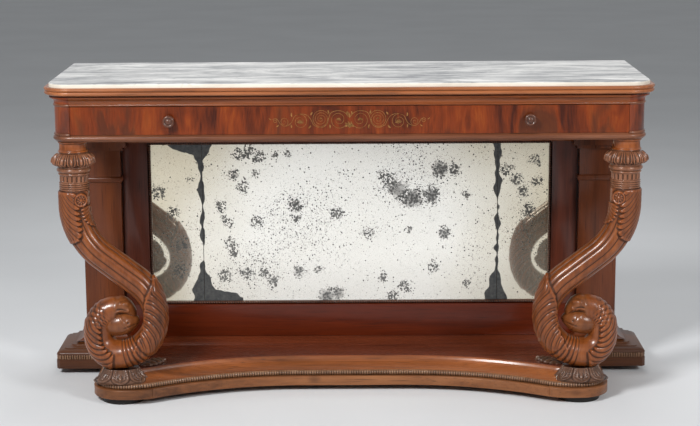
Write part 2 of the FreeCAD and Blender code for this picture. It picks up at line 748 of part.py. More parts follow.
def leaf_boss(board):
    """The flared boss under the scroll, shaped to sit over the platform's edge."""
    wires = []
    for drop_share, flare_share in BOSS_FLARE_SHARES:
        level = RIB_TOP + (SEAT_LEVEL - RIB_TOP) * drop_share
        wide = BOSS_HALF_WIDTH + (BOSS_TOP_HALF_WIDTH - BOSS_HALF_WIDTH) * flare_share
        deep = BOSS_HALF_DEPTH + (BOSS_TOP_HALF_DEPTH - BOSS_HALF_DEPTH) * flare_share
        wires.append(round_wire(Vector(BOSS_X, AXIS_Y, level), Vector(wide, 0, 0), Vector(0, deep, 0)))
    boss = Part.makeLoft(wires, True, False).cut(board)
    return boss.cut(upright_bore(SCROLL_X, AXIS_Y, SCROLL_DOWEL_LOW, SEAT_LEVEL + CUT_OVERRUN))


def leg_dowels():
    pieces = []
    for side in (-1, 1):
        top_start = Vector(side * AXIS_X, AXIS_Y, FRIEZE_BOTTOM - DOWEL_DOWN)
        pieces.append(Part.makeCylinder(DOWEL_RADIUS, DOWEL_DOWN + DOWEL_UP, top_start))
        foot_start = Vector(side * SCROLL_X, AXIS_Y, SCROLL_DOWEL_LOW)
        pieces.append(Part.makeCylinder(DOWEL_RADIUS, SCROLL_DOWEL_HIGH - SCROLL_DOWEL_LOW, foot_start))
    return pieces


# Base platform with a hollowed front
def hollow_radius():
    """Radius of the hollow that meets both the flat middle and the foot's nose smoothly."""
    run = FOOT_NOSE_X - HOLLOW_FLAT / 2
    rise = FOOT_FRONT_Y + FOOT_NOSE_RADIUS - HOLLOW_Y
    return (run * run + rise * rise - FOOT_NOSE_RADIUS ** 2) / (2 * (FOOT_NOSE_RADIUS - rise))


def outline(inset, level):
    """The platform's outline at a level, drawn in from its fascia by an inset."""
    flat = HOLLOW_FLAT / 2
    big = hollow_radius()
    hollow = Vector(flat, HOLLOW_Y - big, level)
    nose = Vector(FOOT_NOSE_X, FOOT_FRONT_Y + FOOT_NOSE_RADIUS, level)
    corner_x = FOOT_OUTER - FOOT_CORNER_RADIUS
    corner = Vector(corner_x, FOOT_FRONT_Y + FOOT_CORNER_RADIUS, level)
    out = (nose - hollow) * (1 / (nose - hollow).Length)
    half_turn = math.acos(out.y) / 2

    def on(centre, radius, angle):
        return centre + Vector(math.sin(angle) * radius, -math.cos(angle) * radius, 0)

    eighth = math.radians(QUARTER_TURN / 2)
    start = Vector(flat, HOLLOW_Y + inset, level)
    bend = hollow + Vector(math.sin(half_turn), math.cos(half_turn), 0) * (big + inset)
    meet = hollow + out * (big + inset)
    nose_bend = on(nose, FOOT_NOSE_RADIUS - inset, -half_turn)
    tip = on(nose, FOOT_NOSE_RADIUS - inset, 0)
    turn_in = on(corner, FOOT_CORNER_RADIUS - inset, 0)
    turn_mid = on(corner, FOOT_CORNER_RADIUS - inset, eighth)
    turn_out = on(corner, FOOT_CORNER_RADIUS - inset, eighth + eighth)
    back = Vector(FOOT_OUTER - inset, PLINTH_FRONT_Y, level)

    def flip(point):
        return Vector(-point.x, point.y, point.z)

    edges = [
        Part.Arc(start, bend, meet),
        Part.Arc(meet, nose_bend, tip),
        Part.LineSegment(tip, turn_in),
        Part.Arc(turn_in, turn_mid, turn_out),
        Part.LineSegment(turn_out, back),
        Part.LineSegment(back, flip(back)),
        Part.LineSegment(flip(back), flip(turn_out)),
        Part.Arc(flip(turn_out), flip(turn_mid), flip(turn_in)),
        Part.LineSegment(flip(turn_in), flip(tip)),
        Part.Arc(flip(tip), flip(nose_bend), flip(meet)),
        Part.Arc(flip(meet), flip(bend), flip(start)),
        Part.LineSegment(flip(start), start),
    ]
    return Part.Wire([edge.toShape() for edge in edges])


def platform_slab(inset, bottom, top):
    """A slab of the platform's outline."""
    return Part.Face(outline(inset, bottom)).extrude(Vector(0, 0, top - bottom))


def base_board():
    """The platform board, its front and sides hollowed to a cavetto."""
    wires = []
    for step in range(CAVETTO_STEPS + 1):
        angle = math.radians(QUARTER_TURN * step / CAVETTO_STEPS)
        inset = RIB_INSET + CAVETTO_DEPTH * math.sin(angle)
        wires.append(outline(inset, RIB_TOP + CAVETTO_HEIGHT * (1 - math.cos(angle))))
    wires[0] = outline(RIB_INSET, RIB_TOP)
    board = Part.makeLoft(wires, True, True)
    board = board.fuse(platform_slab(RIB_INSET, FASCIA_TOP, RIB_TOP)).removeSplitter()
    for x in (-SCROLL_X, SCROLL_X):
        board = board.cut(upright_bore(x, AXIS_Y, SCROLL_DOWEL_LOW, SEAT_LEVEL))
    return board


def ribbed_bead():
    """The rounded bead on the ledge of the fascia, before its ribs are cut."""
    wires = []
    for depth_share, height_share in RIB_ROUND_SHARES:
        level = FASCIA_TOP + RIB_BAND_HEIGHT * height_share
        wires.append(outline(RIB_LEDGE + (RIB_DEPTH - DOWEL_FIT) * depth_share, level))
    bead = Part.makeLoft(wires, True, True)
    return bead.cut(platform_slab(RIB_INSET, FASCIA_TOP - CUT_OVERRUN, RIB_TOP + CUT_OVERRUN))


def fascia_ring():
    outer = platform_slab(0, PAD_HEIGHT, FASCIA_TOP)
    return outer.cut(platform_slab(FASCIA_THICKNESS, PAD_HEIGHT - CUT_OVERRUN, FASCIA_TOP + CUT_OVERRUN))


def front_fascia():
    seam = box(-FOOT_SEAM_X, FOOT_SEAM_X, CORNICE_FRONT_Y, BACK_Y, 0, PLATFORM_TOP)
    return fascia_ring().common(seam)


def foot_block():
    """The solid foot under one support, with the side rail that runs back to the plinth."""
    back = FOOT_FRONT_Y + FOOT_BLOCK_DEPTH
    solid_zone = box(FOOT_SEAM_X, PLINTH_HALF, CORNICE_FRONT_Y, back, 0, PLATFORM_TOP)
    rail_zone = box(FOOT_SEAM_X, PLINTH_HALF, back, BACK_Y, 0, PLATFORM_TOP)
    foot = platform_slab(0, PAD_HEIGHT, FASCIA_TOP).common(solid_zone)
    return foot.fuse(fascia_ring().common(rail_zone)).removeSplitter()


def base_battens():
    front = PLINTH_FRONT_Y - BATTEN_LENGTH
    pieces = []
    for index in range(BATTEN_COUNT):
        middle = BATTEN_SPACING * (index - (BATTEN_COUNT - 1) / 2)
        left = middle - BATTEN_WIDTH / 2
        right = middle + BATTEN_WIDTH / 2
        pieces.append(box(left, right, front, PLINTH_FRONT_Y, FASCIA_TOP - BATTEN_HEIGHT, FASCIA_TOP))
    return pieces


def pad_feet():
    front_y = FOOT_FRONT_Y + PAD_INSET + FRONT_PAD_RADIUS
    back_x = PLINTH_HALF - PAD_INSET - BACK_PAD_RADIUS
    back_y = BACK_Y - PAD_INSET - BACK_PAD_RADIUS
    pieces = []
    for side in (-1, 1):
        pieces.append(Part.makeCylinder(FRONT_PAD_RADIUS, PAD_HEIGHT, Vector(side * BOSS_X, front_y, 0)))
        pieces.append(Part.makeCylinder(BACK_PAD_RADIUS, PAD_HEIGHT, Vector(side * back_x, back_y, 0)))
    return pieces


# Back plinth
def plinth_rectangle(inset, level):
    """The plinth block's outline, drawn in at its front and outer side."""
    left = FOOT_OUTER
    right = PLINTH_HALF - inset
    front = PLINTH_FRONT_Y + inset
    corners = [
        Vector(left, front, level),
        Vector(right, front, level),
        Vector(right, BACK_Y, level),
        Vector(left, BACK_Y, level),
    ]
    return Part.makePolygon(corners + [corners[0]])


def plinth_block():
    """One moulded end of the back plinth: fascia, bead and ovolo in one block."""
    fascia = box(FOOT_OUTER, PLINTH_HALF, PLINTH_FRONT_Y, BACK_Y, PAD_HEIGHT, FASCIA_TOP)
    bead_wires = []
    for depth_share, height_share in RIB_ROUND_SHARES:
        level = FASCIA_TOP + RIB_BAND_HEIGHT * height_share
        bead_wires.append(plinth_rectangle(RIB_LEDGE + RIB_DEPTH * depth_share, level))
    ovolo_wires = []
    for step in range(CAVETTO_STEPS + 1):
        angle = math.radians(QUARTER_TURN * step / CAVETTO_STEPS)
        inset = RIB_INSET + PLINTH_OVOLO_DEPTH * (1 - math.cos(angle))
        ovolo_wires.append(plinth_rectangle(inset, RIB_TOP + CAVETTO_HEIGHT * math.sin(angle)))
    bead = Part.makeLoft(bead_wires, True, True)
    ovolo = Part.makeLoft(ovolo_wires, True, True)
    return fascia.fuse([bead, ovolo]).removeSplitter()


def plinth_board():
    return box(-FOOT_OUTER, FOOT_OUTER, PLINTH_FRONT_Y, BACK_Y, RIB_TOP, PLATFORM_TOP)


def plinth_back_rail():
    return box(-FOOT_OUTER, FOOT_OUTER, BACK_Y - PLINTH_BACK_RAIL, BACK_Y, PAD_HEIGHT, RIB_TOP)


# Pilasters with their mouldings
def pilaster():
    return box(BAY_HALF, PILASTER_OUTER, PILASTER_FRONT_Y, BACK_Y, PLATFORM_TOP, FRIEZE_BOTTOM)


def pilaster_ring(rings):
    """A moulding round three sides of the pilaster; rings holds reach and level, bottom to top."""
    wires = []
    for reach, level in rings:
        corners = [
            Vector(BAY_HALF - reach, PILASTER_FRONT_Y - reach, level),
            Vector(PILASTER_OUTER + reach, PILASTER_FRONT_Y - reach, level),
            Vector(PILASTER_OUTER + reach, BACK_Y, level),
            Vector(BAY_HALF - reach, BACK_Y, level),
        ]
        wires.append(Part.makePolygon(corners + [corners[0]]))
    ring = Part.makeLoft(wires, True, True)
    low = rings[0][1] - CUT_OVERRUN
    high = rings[-1][1] + CUT_OVERRUN
    behind = BACK_Y + CUT_OVERRUN
    post = box(BAY_HALF, PILASTER_OUTER, PILASTER_FRONT_Y, behind, low, high)
    frame = box(0, BAY_HALF, FRAME_FRONT_Y, behind, low, high)
    return ring.cut(post).cut(frame)


def pilaster_base():
    """A cove round the foot of the pilaster."""
    rings = []
    for step in range(CAVETTO_STEPS + 1):
        angle = math.radians(QUARTER_TURN * step / CAVETTO_STEPS)
        reach = PILASTER_BASE_REACH - (PILASTER_BASE_REACH - PILASTER_BASE_TOP_REACH) * math.sin(angle)
        rings.append((reach, PLATFORM_TOP + PILASTER_BASE_HEIGHT * (1 - math.cos(angle))))
    return pilaster_ring(rings)


def pilaster_astragal():
    """A half-round band under the capital."""
    top = FRIEZE_BOTTOM - CAPITAL_HEIGHT - CAPITAL_FILLET_HEIGHT - ASTRAGAL_DROP
    rings = []
    for step in range(CAVETTO_STEPS + 1):
        angle = math.radians(2 * QUARTER_TURN * step / CAVETTO_STEPS)
        reach = DOWEL_FIT + ASTRAGAL_REACH * math.sin(angle)
        rings.append((reach, top - ASTRAGAL_HEIGHT * (1 + math.cos(angle)) / 2))
    return pilaster_ring(rings)


def pilaster_capital():
    """The capital block over a small fillet."""
    block_bottom = FRIEZE_BOTTOM - CAPITAL_HEIGHT
    block = pilaster_ring([(CAPITAL_REACH, block_bottom), (CAPITAL_REACH, FRIEZE_BOTTOM)])
    fillet_bottom = block_bottom - CAPITAL_FILLET_HEIGHT
    fillet = pilaster_ring([(CAPITAL_FILLET_REACH, fillet_bottom), (CAPITAL_FILLET_REACH, block_bottom)])
    return block.fuse(fillet).removeSplitter()


# Mirror frame, glass, slips and backboard
OPENING_HALF = BAY_HALF - STILE_WIDTH
OPENING_LOW = PLATFORM_TOP + BOTTOM_RAIL_HEIGHT
OPENING_HIGH = FRIEZE_BOTTOM - TOP_RAIL_HEIGHT
PLATE_SEAM = OPENING_HALF - SIDE_PLATE_WIDTH


def screw_places():
    """Screw centres: two in each stile and two in each rail."""
    middle = (OPENING_LOW + OPENING_HIGH) / 2
    stile_x = OPENING_HALF + SCREW_INSET
    half = SCREW_SPREAD / 4
    places = [(side * stile_x, middle + up * half) for side in (-1, 1) for up in (-1, 1)]
    for level in (OPENING_LOW - SCREW_INSET, OPENING_HIGH + SCREW_INSET):
        places.append((-SCREW_SPREAD / 2, level))
        places.append((SCREW_SPREAD / 2, level))
    return places


def drilled(shape):
    """The shape with a pilot hole at every screw."""
    length = SCREW_LENGTH + CUT_OVERRUN
    back = FRAME_BACK_Y + BACKBOARD_THICKNESS
    for x, z in screw_places():
        start = Vector(x, back - SCREW_LENGTH, z)
        shape = shape.cut(Part.makeCylinder(SCREW_RADIUS + DOWEL_FIT, length, start, Vector(0, 1, 0)))
    return shape


def backboard_screws():
    back = FRAME_BACK_Y + BACKBOARD_THICKNESS
    pieces = []
    for x, z in screw_places():
        along = Vector(0, 1, 0)
        shank_start = Vector(x, back - SCREW_LENGTH, z)
        shank = Part.makeCylinder(SCREW_RADIUS, SCREW_LENGTH, shank_start, along)
        head = Part.makeCylinder(SCREW_HEAD_RADIUS, SCREW_HEAD_HEIGHT, Vector(x, back, z), along)
        pieces.append(shank.fuse(head).removeSplitter())
    return pieces


def stile():
    return drilled(box(OPENING_HALF, BAY_HALF, FRAME_FRONT_Y, FRAME_BACK_Y, OPENING_LOW, OPENING_HIGH))


def bottom_rail():
    return drilled(box(-BAY_HALF, BAY_HALF, FRAME_FRONT_Y, FRAME_BACK_Y, PLATFORM_TOP, OPENING_LOW))


def top_rail():
    return drilled(box(-BAY_HALF, BAY_HALF, FRAME_FRONT_Y, FRAME_BACK_Y, OPENING_HIGH, FRIEZE_BOTTOM))


def mirror_slips():
    """Four slips round the glass: the upright pair stands between the level pair."""
    low = OPENING_LOW + SLIP_WIDTH
    high = OPENING_HIGH - SLIP_WIDTH
    inner = OPENING_HALF - SLIP_WIDTH
    return [
        box(-OPENING_HALF, OPENING_HALF, SLIP_FRONT_Y, GLASS_FRONT_Y, OPENING_LOW, low),
        box(-OPENING_HALF, OPENING_HALF, SLIP_FRONT_Y, GLASS_FRONT_Y, high, OPENING_HIGH),
        box(inner, OPENING_HALF, SLIP_FRONT_Y, GLASS_FRONT_Y, low, high),
        box(-OPENING_HALF, -inner, SLIP_FRONT_Y, GLASS_FRONT_Y, low, high),
    ]


def glass(left, right):
    back = GLASS_FRONT_Y + GLASS_THICKNESS
    low = OPENING_LOW + GLASS_GAP
    return box(left, right, GLASS_FRONT_Y, back, low, OPENING_HIGH - GLASS_GAP)


def backboard():
    half = BAY_HALF - BACKBOARD_MARGIN
    back = FRAME_BACK_Y + BACKBOARD_THICKNESS
    low = PLATFORM_TOP + BACKBOARD_DROP
    return drilled(box(-half, half, FRAME_BACK_Y, back, low, FRIEZE_BOTTOM - BACKBOARD_DROP))


def main():
    os.makedirs("parts", exist_ok=True)
    save("marble_top", [marble_top()])
    save("front_cornice", [front_length(cornice_path())])
    save_pair("cornice", [side_cornice()])
    save("top_board", [top_board()])
    save("upper_front_rail", [front_length(upper_path(UPPER_RAIL_DEPTH))])
    save("lower_front_rail", [lower_rail()])
    save_pair("corner_column", [corner_column()])
    save_pair("frieze_side", [frieze_side()])
    save("frieze_back_rail", [frieze_back_rail()])
    save("drawer_runners", [right_runner(), mirrored(right_runner())])
    strips = [right_guide(), right_kicker()]
    save("drawer_guides", strips + [mirrored(strip) for strip in strips])
    save("drawer_front", [drawer_front()])
    save_pair("drawer_side", [drawer_side()])
    save("drawer_back", [drawer_back()])
    save("drawer_bottom", [drawer_bottom()])
    save_pair("knob", [right_knob()])
    save("brass_inlay", brass_inlay())
    save_pair("leg_spool", [spool()])
    save_pair("leaf_collar", [leaf_collar()])
    save_pair("leg_bell", [bell()])
    save_pair("scroll_leg", [scroll_leg()])
    save_pair("bird_head", [bird_head()])
    board = base_board()
    save_pair("leaf_boss", [leaf_boss(board)])
    save("leg_dowels", leg_dowels())
    save("base_board", [board])
    save("ribbed_bead", [ribbed_bead()])
    save("front_fascia", [front_fascia()])
    save_pair("foot_block", [foot_block()])
    save("base_battens", base_battens())
    save("pad_feet", pad_feet())
    save_pair("plinth_block", [plinth_block()])
    save("plinth_board", [plinth_board()])
    save("plinth_back_rail", [plinth_back_rail()])
    save_pair("pilaster", [pilaster()])
    save_pair("pilaster_mouldings", [pilaster_base(), pilaster_astragal(), pilaster_capital()])
    save_pair("mirror_stile", [stile()])
    save("mirror_bottom_rail", [bottom_rail()])
    save("mirror_top_rail", [top_rail()])
    save("mirror_slips", mirror_slips())
    edge = OPENING_HALF - GLASS_GAP
    save("left_mirror_plate", [glass(-edge, -PLATE_SEAM - GLASS_GAP / 2)])
    save("centre_mirror_plate", [glass(-PLATE_SEAM + GLASS_GAP / 2, PLATE_SEAM - GLASS_GAP / 2)])
    save("right_mirror_plate", [glass(PLATE_SEAM + GLASS_GAP / 2, edge)])
    save("backboard", [backboard()])
    save("backboard_screws", backboard_screws())


main()
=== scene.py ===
# %% [markdown]
# # A pier table, dressed
# The table stands against a wall: a marble slab on a frieze with one long drawer, two carved scroll
# supports in front, a mirrored back and a platform with a hollowed front.
# The packed solids already have the right sizes, so this lesson loads them as a frame, keeps the plain
# boards, and lays finer carved surfaces over the carved ones.

# %% Load the frame
import math

import bmesh
import bpy
import numpy as np
from mathutils import Matrix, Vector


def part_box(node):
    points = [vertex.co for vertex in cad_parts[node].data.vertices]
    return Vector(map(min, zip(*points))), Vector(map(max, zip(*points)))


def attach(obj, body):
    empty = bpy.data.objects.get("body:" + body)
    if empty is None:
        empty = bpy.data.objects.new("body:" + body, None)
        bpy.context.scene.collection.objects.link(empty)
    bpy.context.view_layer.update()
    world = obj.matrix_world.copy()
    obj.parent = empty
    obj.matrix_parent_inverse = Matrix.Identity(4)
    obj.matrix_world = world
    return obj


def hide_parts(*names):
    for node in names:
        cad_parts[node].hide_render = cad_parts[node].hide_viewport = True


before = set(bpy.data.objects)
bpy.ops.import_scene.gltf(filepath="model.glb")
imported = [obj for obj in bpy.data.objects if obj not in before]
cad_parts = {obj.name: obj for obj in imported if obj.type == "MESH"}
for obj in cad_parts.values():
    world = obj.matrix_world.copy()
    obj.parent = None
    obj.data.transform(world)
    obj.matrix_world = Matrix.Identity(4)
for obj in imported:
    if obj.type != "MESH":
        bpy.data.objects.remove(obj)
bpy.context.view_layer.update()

MM = 0.001

# %% [markdown]
# ## Sums on shader sockets
# A finish is a sum of patterns: streaks, pores, patches, wax in the hollows.
# Wiring each Math node by hand hides that sum, so a small class lets a socket stand in a Python
# expression.
# Colours go through Mix nodes, because a Math node would turn them grey.

# %% Shader class
class Field:
    """A shader socket used in sums: each operator adds one Math node, and node() adds any other kind."""

    def __init__(self, tree, socket):
        self.tree = tree
        self.socket = socket

    def node(self, kind, settings, sockets, out=0):
        """Add a node: first its settings, with a ramp's stops among them, then its values and links."""
        made = self.tree.nodes.new(kind)
        for key, value in settings.items():
            if key == "stops":
                while len(made.color_ramp.elements) < len(value):
                    made.color_ramp.elements.new(1.0)
                for stop, (place, colour) in zip(made.color_ramp.elements, value):
                    stop.position = place
                    stop.color = (*colour, 1.0)
            else:
                setattr(made, key, value)
        for key, value in sockets.items():
            if isinstance(value, Field):
                self.tree.links.new(value.socket, made.inputs[key])
            else:
                made.inputs[key].default_value = value
        return Field(self.tree, made.outputs[out])

    def math(self, operation, first, second=0.0):
        """One Math node on one or two values."""
        return self.node("ShaderNodeMath", {"operation": operation}, {0: first, 1: second})

    def __add__(self, other):
        return self.math("ADD", self, other)

    def __sub__(self, other):
        return self.math("SUBTRACT", self, other)

    def __rsub__(self, other):
        return self.math("SUBTRACT", other, self)

    def __mul__(self, other):
        return self.math("MULTIPLY", self, other)

    def __truediv__(self, other):
        return self.math("DIVIDE", self, other)

    def __rtruediv__(self, other):
        return self.math("DIVIDE", other, self)

    def __abs__(self):
        return self.math("ABSOLUTE", self)

    __radd__ = __add__
    __rmul__ = __mul__

    def part(self, axis):
        """One of these coordinates: X, Y or Z."""
        return self.node("ShaderNodeSeparateXYZ", {}, {"Vector": self}, axis)

    def above(self, low, high):
        """0 below low, 1 above high, smooth between."""
        sockets = {"Value": self, "From Min": low, "From Max": high}
        return self.node("ShaderNodeMapRange", {"interpolation_type": "SMOOTHSTEP"}, sockets)

    def stretch(self, scale, place=(0, 0, 0)):
        """These coordinates multiplied axis by axis, then moved by a place."""
        return self.node("ShaderNodeMapping", {}, {"Vector": self, "Scale": scale, "Location": place})

    def noise(self, scale, detail=3.0, rough=0.5, twist=0.0):
        """Smooth noise of about 0 to 1 at these coordinates."""
        sockets = {"Vector": self, "Scale": scale, "Detail": detail, "Roughness": rough, "Distortion": twist}
        return self.node("ShaderNodeTexNoise", {}, sockets, "Fac")

    def ramp(self, *stops):
        """Colours at places from 0 to 1, blended between."""
        return self.node("ShaderNodeValToRGB", {"stops": stops}, {"Fac": self})

    def mix(self, low, high):
        """One colour where this mask is 0 and the other where it is 1."""
        return self.node("ShaderNodeMix", {"data_type": "RGBA"}, {0: self, 6: low, 7: high}, 2)

    def bump(self, depth, strength):
        """A normal that makes this height look raised."""
        sockets = {"Height": self, "Distance": depth, "Strength": strength}
        return self.node("ShaderNodeBump", {}, sockets, "Normal")


print("reflected operators of a field:", sum(name.startswith("__r") for name in vars(Field)))

# %% [markdown]
# A finish starts from Object coordinates, so that its pattern stays with the piece when a body moves.
# It ends at the sockets of one shader: a plain number is set on the socket and a pattern is linked to
# it.
# Colours are written as screen values, which are easy to judge, and turned into the linear ones that
# Blender uses.

# %% Start and end of a finish
def start_finish(name):
    """A new material and its Object coordinates."""
    material = bpy.data.materials.new(name)
    material.use_nodes = True
    tree = material.node_tree
    return material, Field(tree, tree.nodes.new("ShaderNodeTexCoord").outputs["Object"])


def end_finish(material, sockets):
    """Set or link the sockets of the material's shader."""
    shader = material.node_tree.nodes["Principled BSDF"]
    for key, value in sockets.items():
        if isinstance(value, Field):
            material.node_tree.links.new(value.socket, shader.inputs[key])
        else:
            shader.inputs[key].default_value = value
    print("finish", material.name, "with", len(material.node_tree.nodes), "nodes")
    return material


def rgb(red, green, blue):
    """A colour from screen values of 0 to 255."""
    def linear(value):
        value = value / 255
        return value / 12.92 if value <= 0.04045 else ((value + 0.055) / 1.055) ** 2.4
    return (linear(red), linear(green), linear(blue))


print("screen grey 128 is %.3f in linear light" % rgb(128, 128, 128)[0])

# %% [markdown]
# ## Mahogany and its relatives
# Polished mahogany shows three things at once: broad bands of darker and lighter wood, fine streaks
# along the grain and short dark pores.
# All three are noise, squeezed along the grain so that its blobs become streaks.
# One function makes every plain wood, and each caller says which axis its grain follows and how warm it
# is.

# %% Plain woods
GRAIN_X = (0.07, 1.0, 1.0)
GRAIN_Y = (1.0, 0.07, 1.0)
GRAIN_Z = (1.0, 1.0, 0.07)
TONE_PLACES = (0.32, 0.5, 0.7)


def tones(red, green, blue):
    """A wood's dark, middle and light tones from the screen values of its middle tone."""
    middle = np.array(rgb(red, green, blue))
    return middle * 0.4, middle, np.minimum(middle * (1.5, 1.65, 1.75), 1.0)


def timber(name, grain, wood, rough=0.3, coat=0.22, knots=0.0, lower=None, corner=None):
    """Bands, streaks and pores along one axis; knots, a lower wood and a dark corner of painted shade where
    asked for.
    """
    material, at = start_finish(name)
    wave = at.noise(2.3, 2.0)
    along = at.stretch(grain)
    bands = along.noise(9.0, 3.0, 0.55, 1.4)
    streaks = along.noise(95.0, 4.0, 0.6, 0.2)
    fine = at.stretch(tuple(axis if axis == 1.0 else axis * 0.35 for axis in grain)).noise(420.0, 2.0)
    pore = fine.above(0.58, 0.72)
    tone = bands * 0.55 + streaks * 0.3 + wave * 0.25 - 0.05
    colour = tone.ramp(*zip(TONE_PLACES, wood))
    if lower:
        level, lower_wood = lower
        lower_colour = tone.ramp(*zip(TONE_PLACES, lower_wood))
        colour = at.part("Z").above(level - 1 * MM, level).mix(lower_colour, colour)
    if corner:
        axis, place = corner
        # Painted shade: the colour darkens towards the given place on one axis, where a corner lies in shade.
        corner_shade_and_dust = abs(at.part(axis)).above(place - 8 * MM, place - 2 * MM)
        colour = (corner_shade_and_dust * 0.9).mix(colour, (*(0.15 * wood[0]), 1.0))
    if knots:
        cells = {"Vector": at.stretch((0.6, 1, 1)), "Scale": 9.0}
        eyes = at.node("ShaderNodeTexVoronoi", {}, cells, "Distance")
        spot = (1 - eyes.above(0.04, 0.16)) * knots
        colour = spot.mix(colour, (*rgb(52, 26, 14), 1.0))
    colour = (pore * 0.55).mix(colour, (*(0.3 * wood[0]), 1.0))
    surface = streaks * 0.5 + fine * 0.5
    shine = rough + (bands - 0.5) * 0.16 + pore * 0.12
    return end_finish(material, {
        "Base Color": colour,
        "Roughness": shine,
        "Normal": surface.bump(0.25 * MM, 0.5),
        "Coat Weight": coat,
        "Coat Roughness": 0.14,
        "Specular IOR Level": 0.25,
    })


print("a middle tone of 128 has a dark tone of", tones(128, 128, 128)[0].round(3))

# %% [markdown]
# The palette holds the middle tones of the table's woods, named for how they look on it.
# Old polish has faded each board in its own way, so one tone for all of them would look like plastic. DEEP,
# for the pilasters, and SHADED, for the mirror stiles, are also darkened to paint in the shade under the
# frieze.

# %% Palette
WARM = tones(148, 88, 52)
BROWN = tones(119, 61, 27)
ROLL = tones(108, 64, 42)
# Painted shade: DEEP and SHADED are darker tones for boards that stand in shade under the frieze.
DEEP = tones(89, 43, 19)
SHADED = tones(84, 39, 25)
RED = tones(84, 27, 4)
GLOSSY = tones(99, 44, 21)
CAVETTO = tones(142, 82, 46)
HONEY = tones(126, 78, 46)
DULL = tones(81, 43, 18)
PALE = tones(160, 126, 88)
INK = tones(28, 23, 20)
print("middle tone of the warmest wood:", WARM[1].round(3))

# %% [markdown]
# Each board takes its tone from the palette and its grain from its longest side.
# The platform's board is paler below its upper edge, and the inner corners at the mirror frame are darkened:
# painted shade beside the pilasters, and painted contact shade with dust along the foot of the bottom rail.

# %% Woods of the boards
PLATFORM_EDGE = 88.5 * MM
cornice_front = timber("cornice_front", GRAIN_X, WARM)
cornice_side = timber("cornice_side", GRAIN_Y, WARM)
rail_wood = timber("rail_wood", GRAIN_X, BROWN)
side_wood = timber("side_wood", GRAIN_Y, BROWN)
roll_wood = timber("roll_wood", GRAIN_X, ROLL)
upright_wood = timber("upright_wood", GRAIN_Z, DEEP, coat=0.12)
pilaster_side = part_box("right_pilaster")[0].x
# The stiles take painted shade along the pilasters' sides.
shaded_stile_wood = timber("shaded_stile_wood", GRAIN_Z, SHADED, corner=("X", pilaster_side))
frame_wood = timber("frame_wood", GRAIN_X, RED)
rail_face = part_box("mirror_bottom_rail")[0].y
lower_edge = (PLATFORM_EDGE, CAVETTO)
platform_wood = timber("platform_wood", GRAIN_X, GLOSSY, rough=0.26, coat=0.28, lower=lower_edge)
# Painted contact shade, with dust, along the foot of the mirror's bottom rail.
platform_back = timber("platform_back", GRAIN_X, GLOSSY, rough=0.26, coat=0.28, corner=("Y", rail_face))
fascia_wood = timber("fascia_wood", GRAIN_X, HONEY, rough=0.4, coat=0.15, knots=0.55)
plinth_wood = timber("plinth_wood", GRAIN_X, DULL, rough=0.4, coat=0.15)
lining_x = timber("lining_x", GRAIN_X, PALE, rough=0.6, coat=0.0)
lining_y = timber("lining_y", GRAIN_Y, PALE, rough=0.6, coat=0.0)
lining_z = timber("lining_z", GRAIN_Z, PALE, rough=0.6, coat=0.0)
black_wood = timber("black_wood", GRAIN_X, INK, rough=0.5, coat=0.1)

# %% [markdown]
# ## Flame veneer
# The drawer front and the rounded corners wear veneer cut through a fork of the tree, laid upright in
# leaves, each the mirror image of the next.
# Folding the X coordinate back and forth makes the matched leaves, and a plume is noise drawn out
# upwards and bent by slower noise.

# %% Drawer veneer
LEAF_WIDTH = 0.197
LEAF_START = 0.06


def flame_veneer(name):
    """Upright plumes mirrored leaf by leaf, with near-black patches where the fork was cut."""
    material, at = start_finish(name)
    x, z = at.part("X"), at.part("Z")
    folded = x.math("PINGPONG", x + LEAF_START, LEAF_WIDTH)
    lean = at.noise(5.0, 2.0)
    sides = {"X": folded + lean * 0.04, "Y": x * 0.13, "Z": z * 0.3}
    leaf = x.node("ShaderNodeCombineXYZ", {}, sides, "Vector")
    plume = leaf.noise(17.0, 3.0, 0.55, 0.8)
    streaks = leaf.stretch((1, 1, 0.3)).noise(210.0, 3.0, 0.6)
    broad = at.stretch((1, 1, 0.45)).noise(6.5, 2.0, 0.5, 0.5)
    tone = plume * 0.7 + streaks * 0.22 + broad * 0.2 - 0.08
    colour = tone.ramp((0.32, rgb(58, 18, 3)), (0.5, rgb(117, 47, 10)), (0.68, rgb(154, 76, 20)))
    patch = (broad * 0.5 + plume * 0.5).above(0.52, 0.62)
    colour = (patch * 0.75).mix(colour, (*rgb(46, 21, 14), 1.0))
    return end_finish(material, {
        "Base Color": colour,
        "Roughness": 0.24 + streaks * 0.14,
        "Normal": streaks.bump(0.15 * MM, 0.4),
        "Coat Weight": 0.3,
        "Coat Roughness": 0.1,
        "Specular IOR Level": 0.25,
    })


drawer_veneer = flame_veneer("drawer_veneer")

# %% [markdown]
# ## Marble
# The slab is a pale grey marble with long clouded streaks and a few sharper veins, its edge worn to
# cream.
# Clouds are wide noise drawn out along the slab; a vein is the narrow line where another noise crosses
# its middle value.

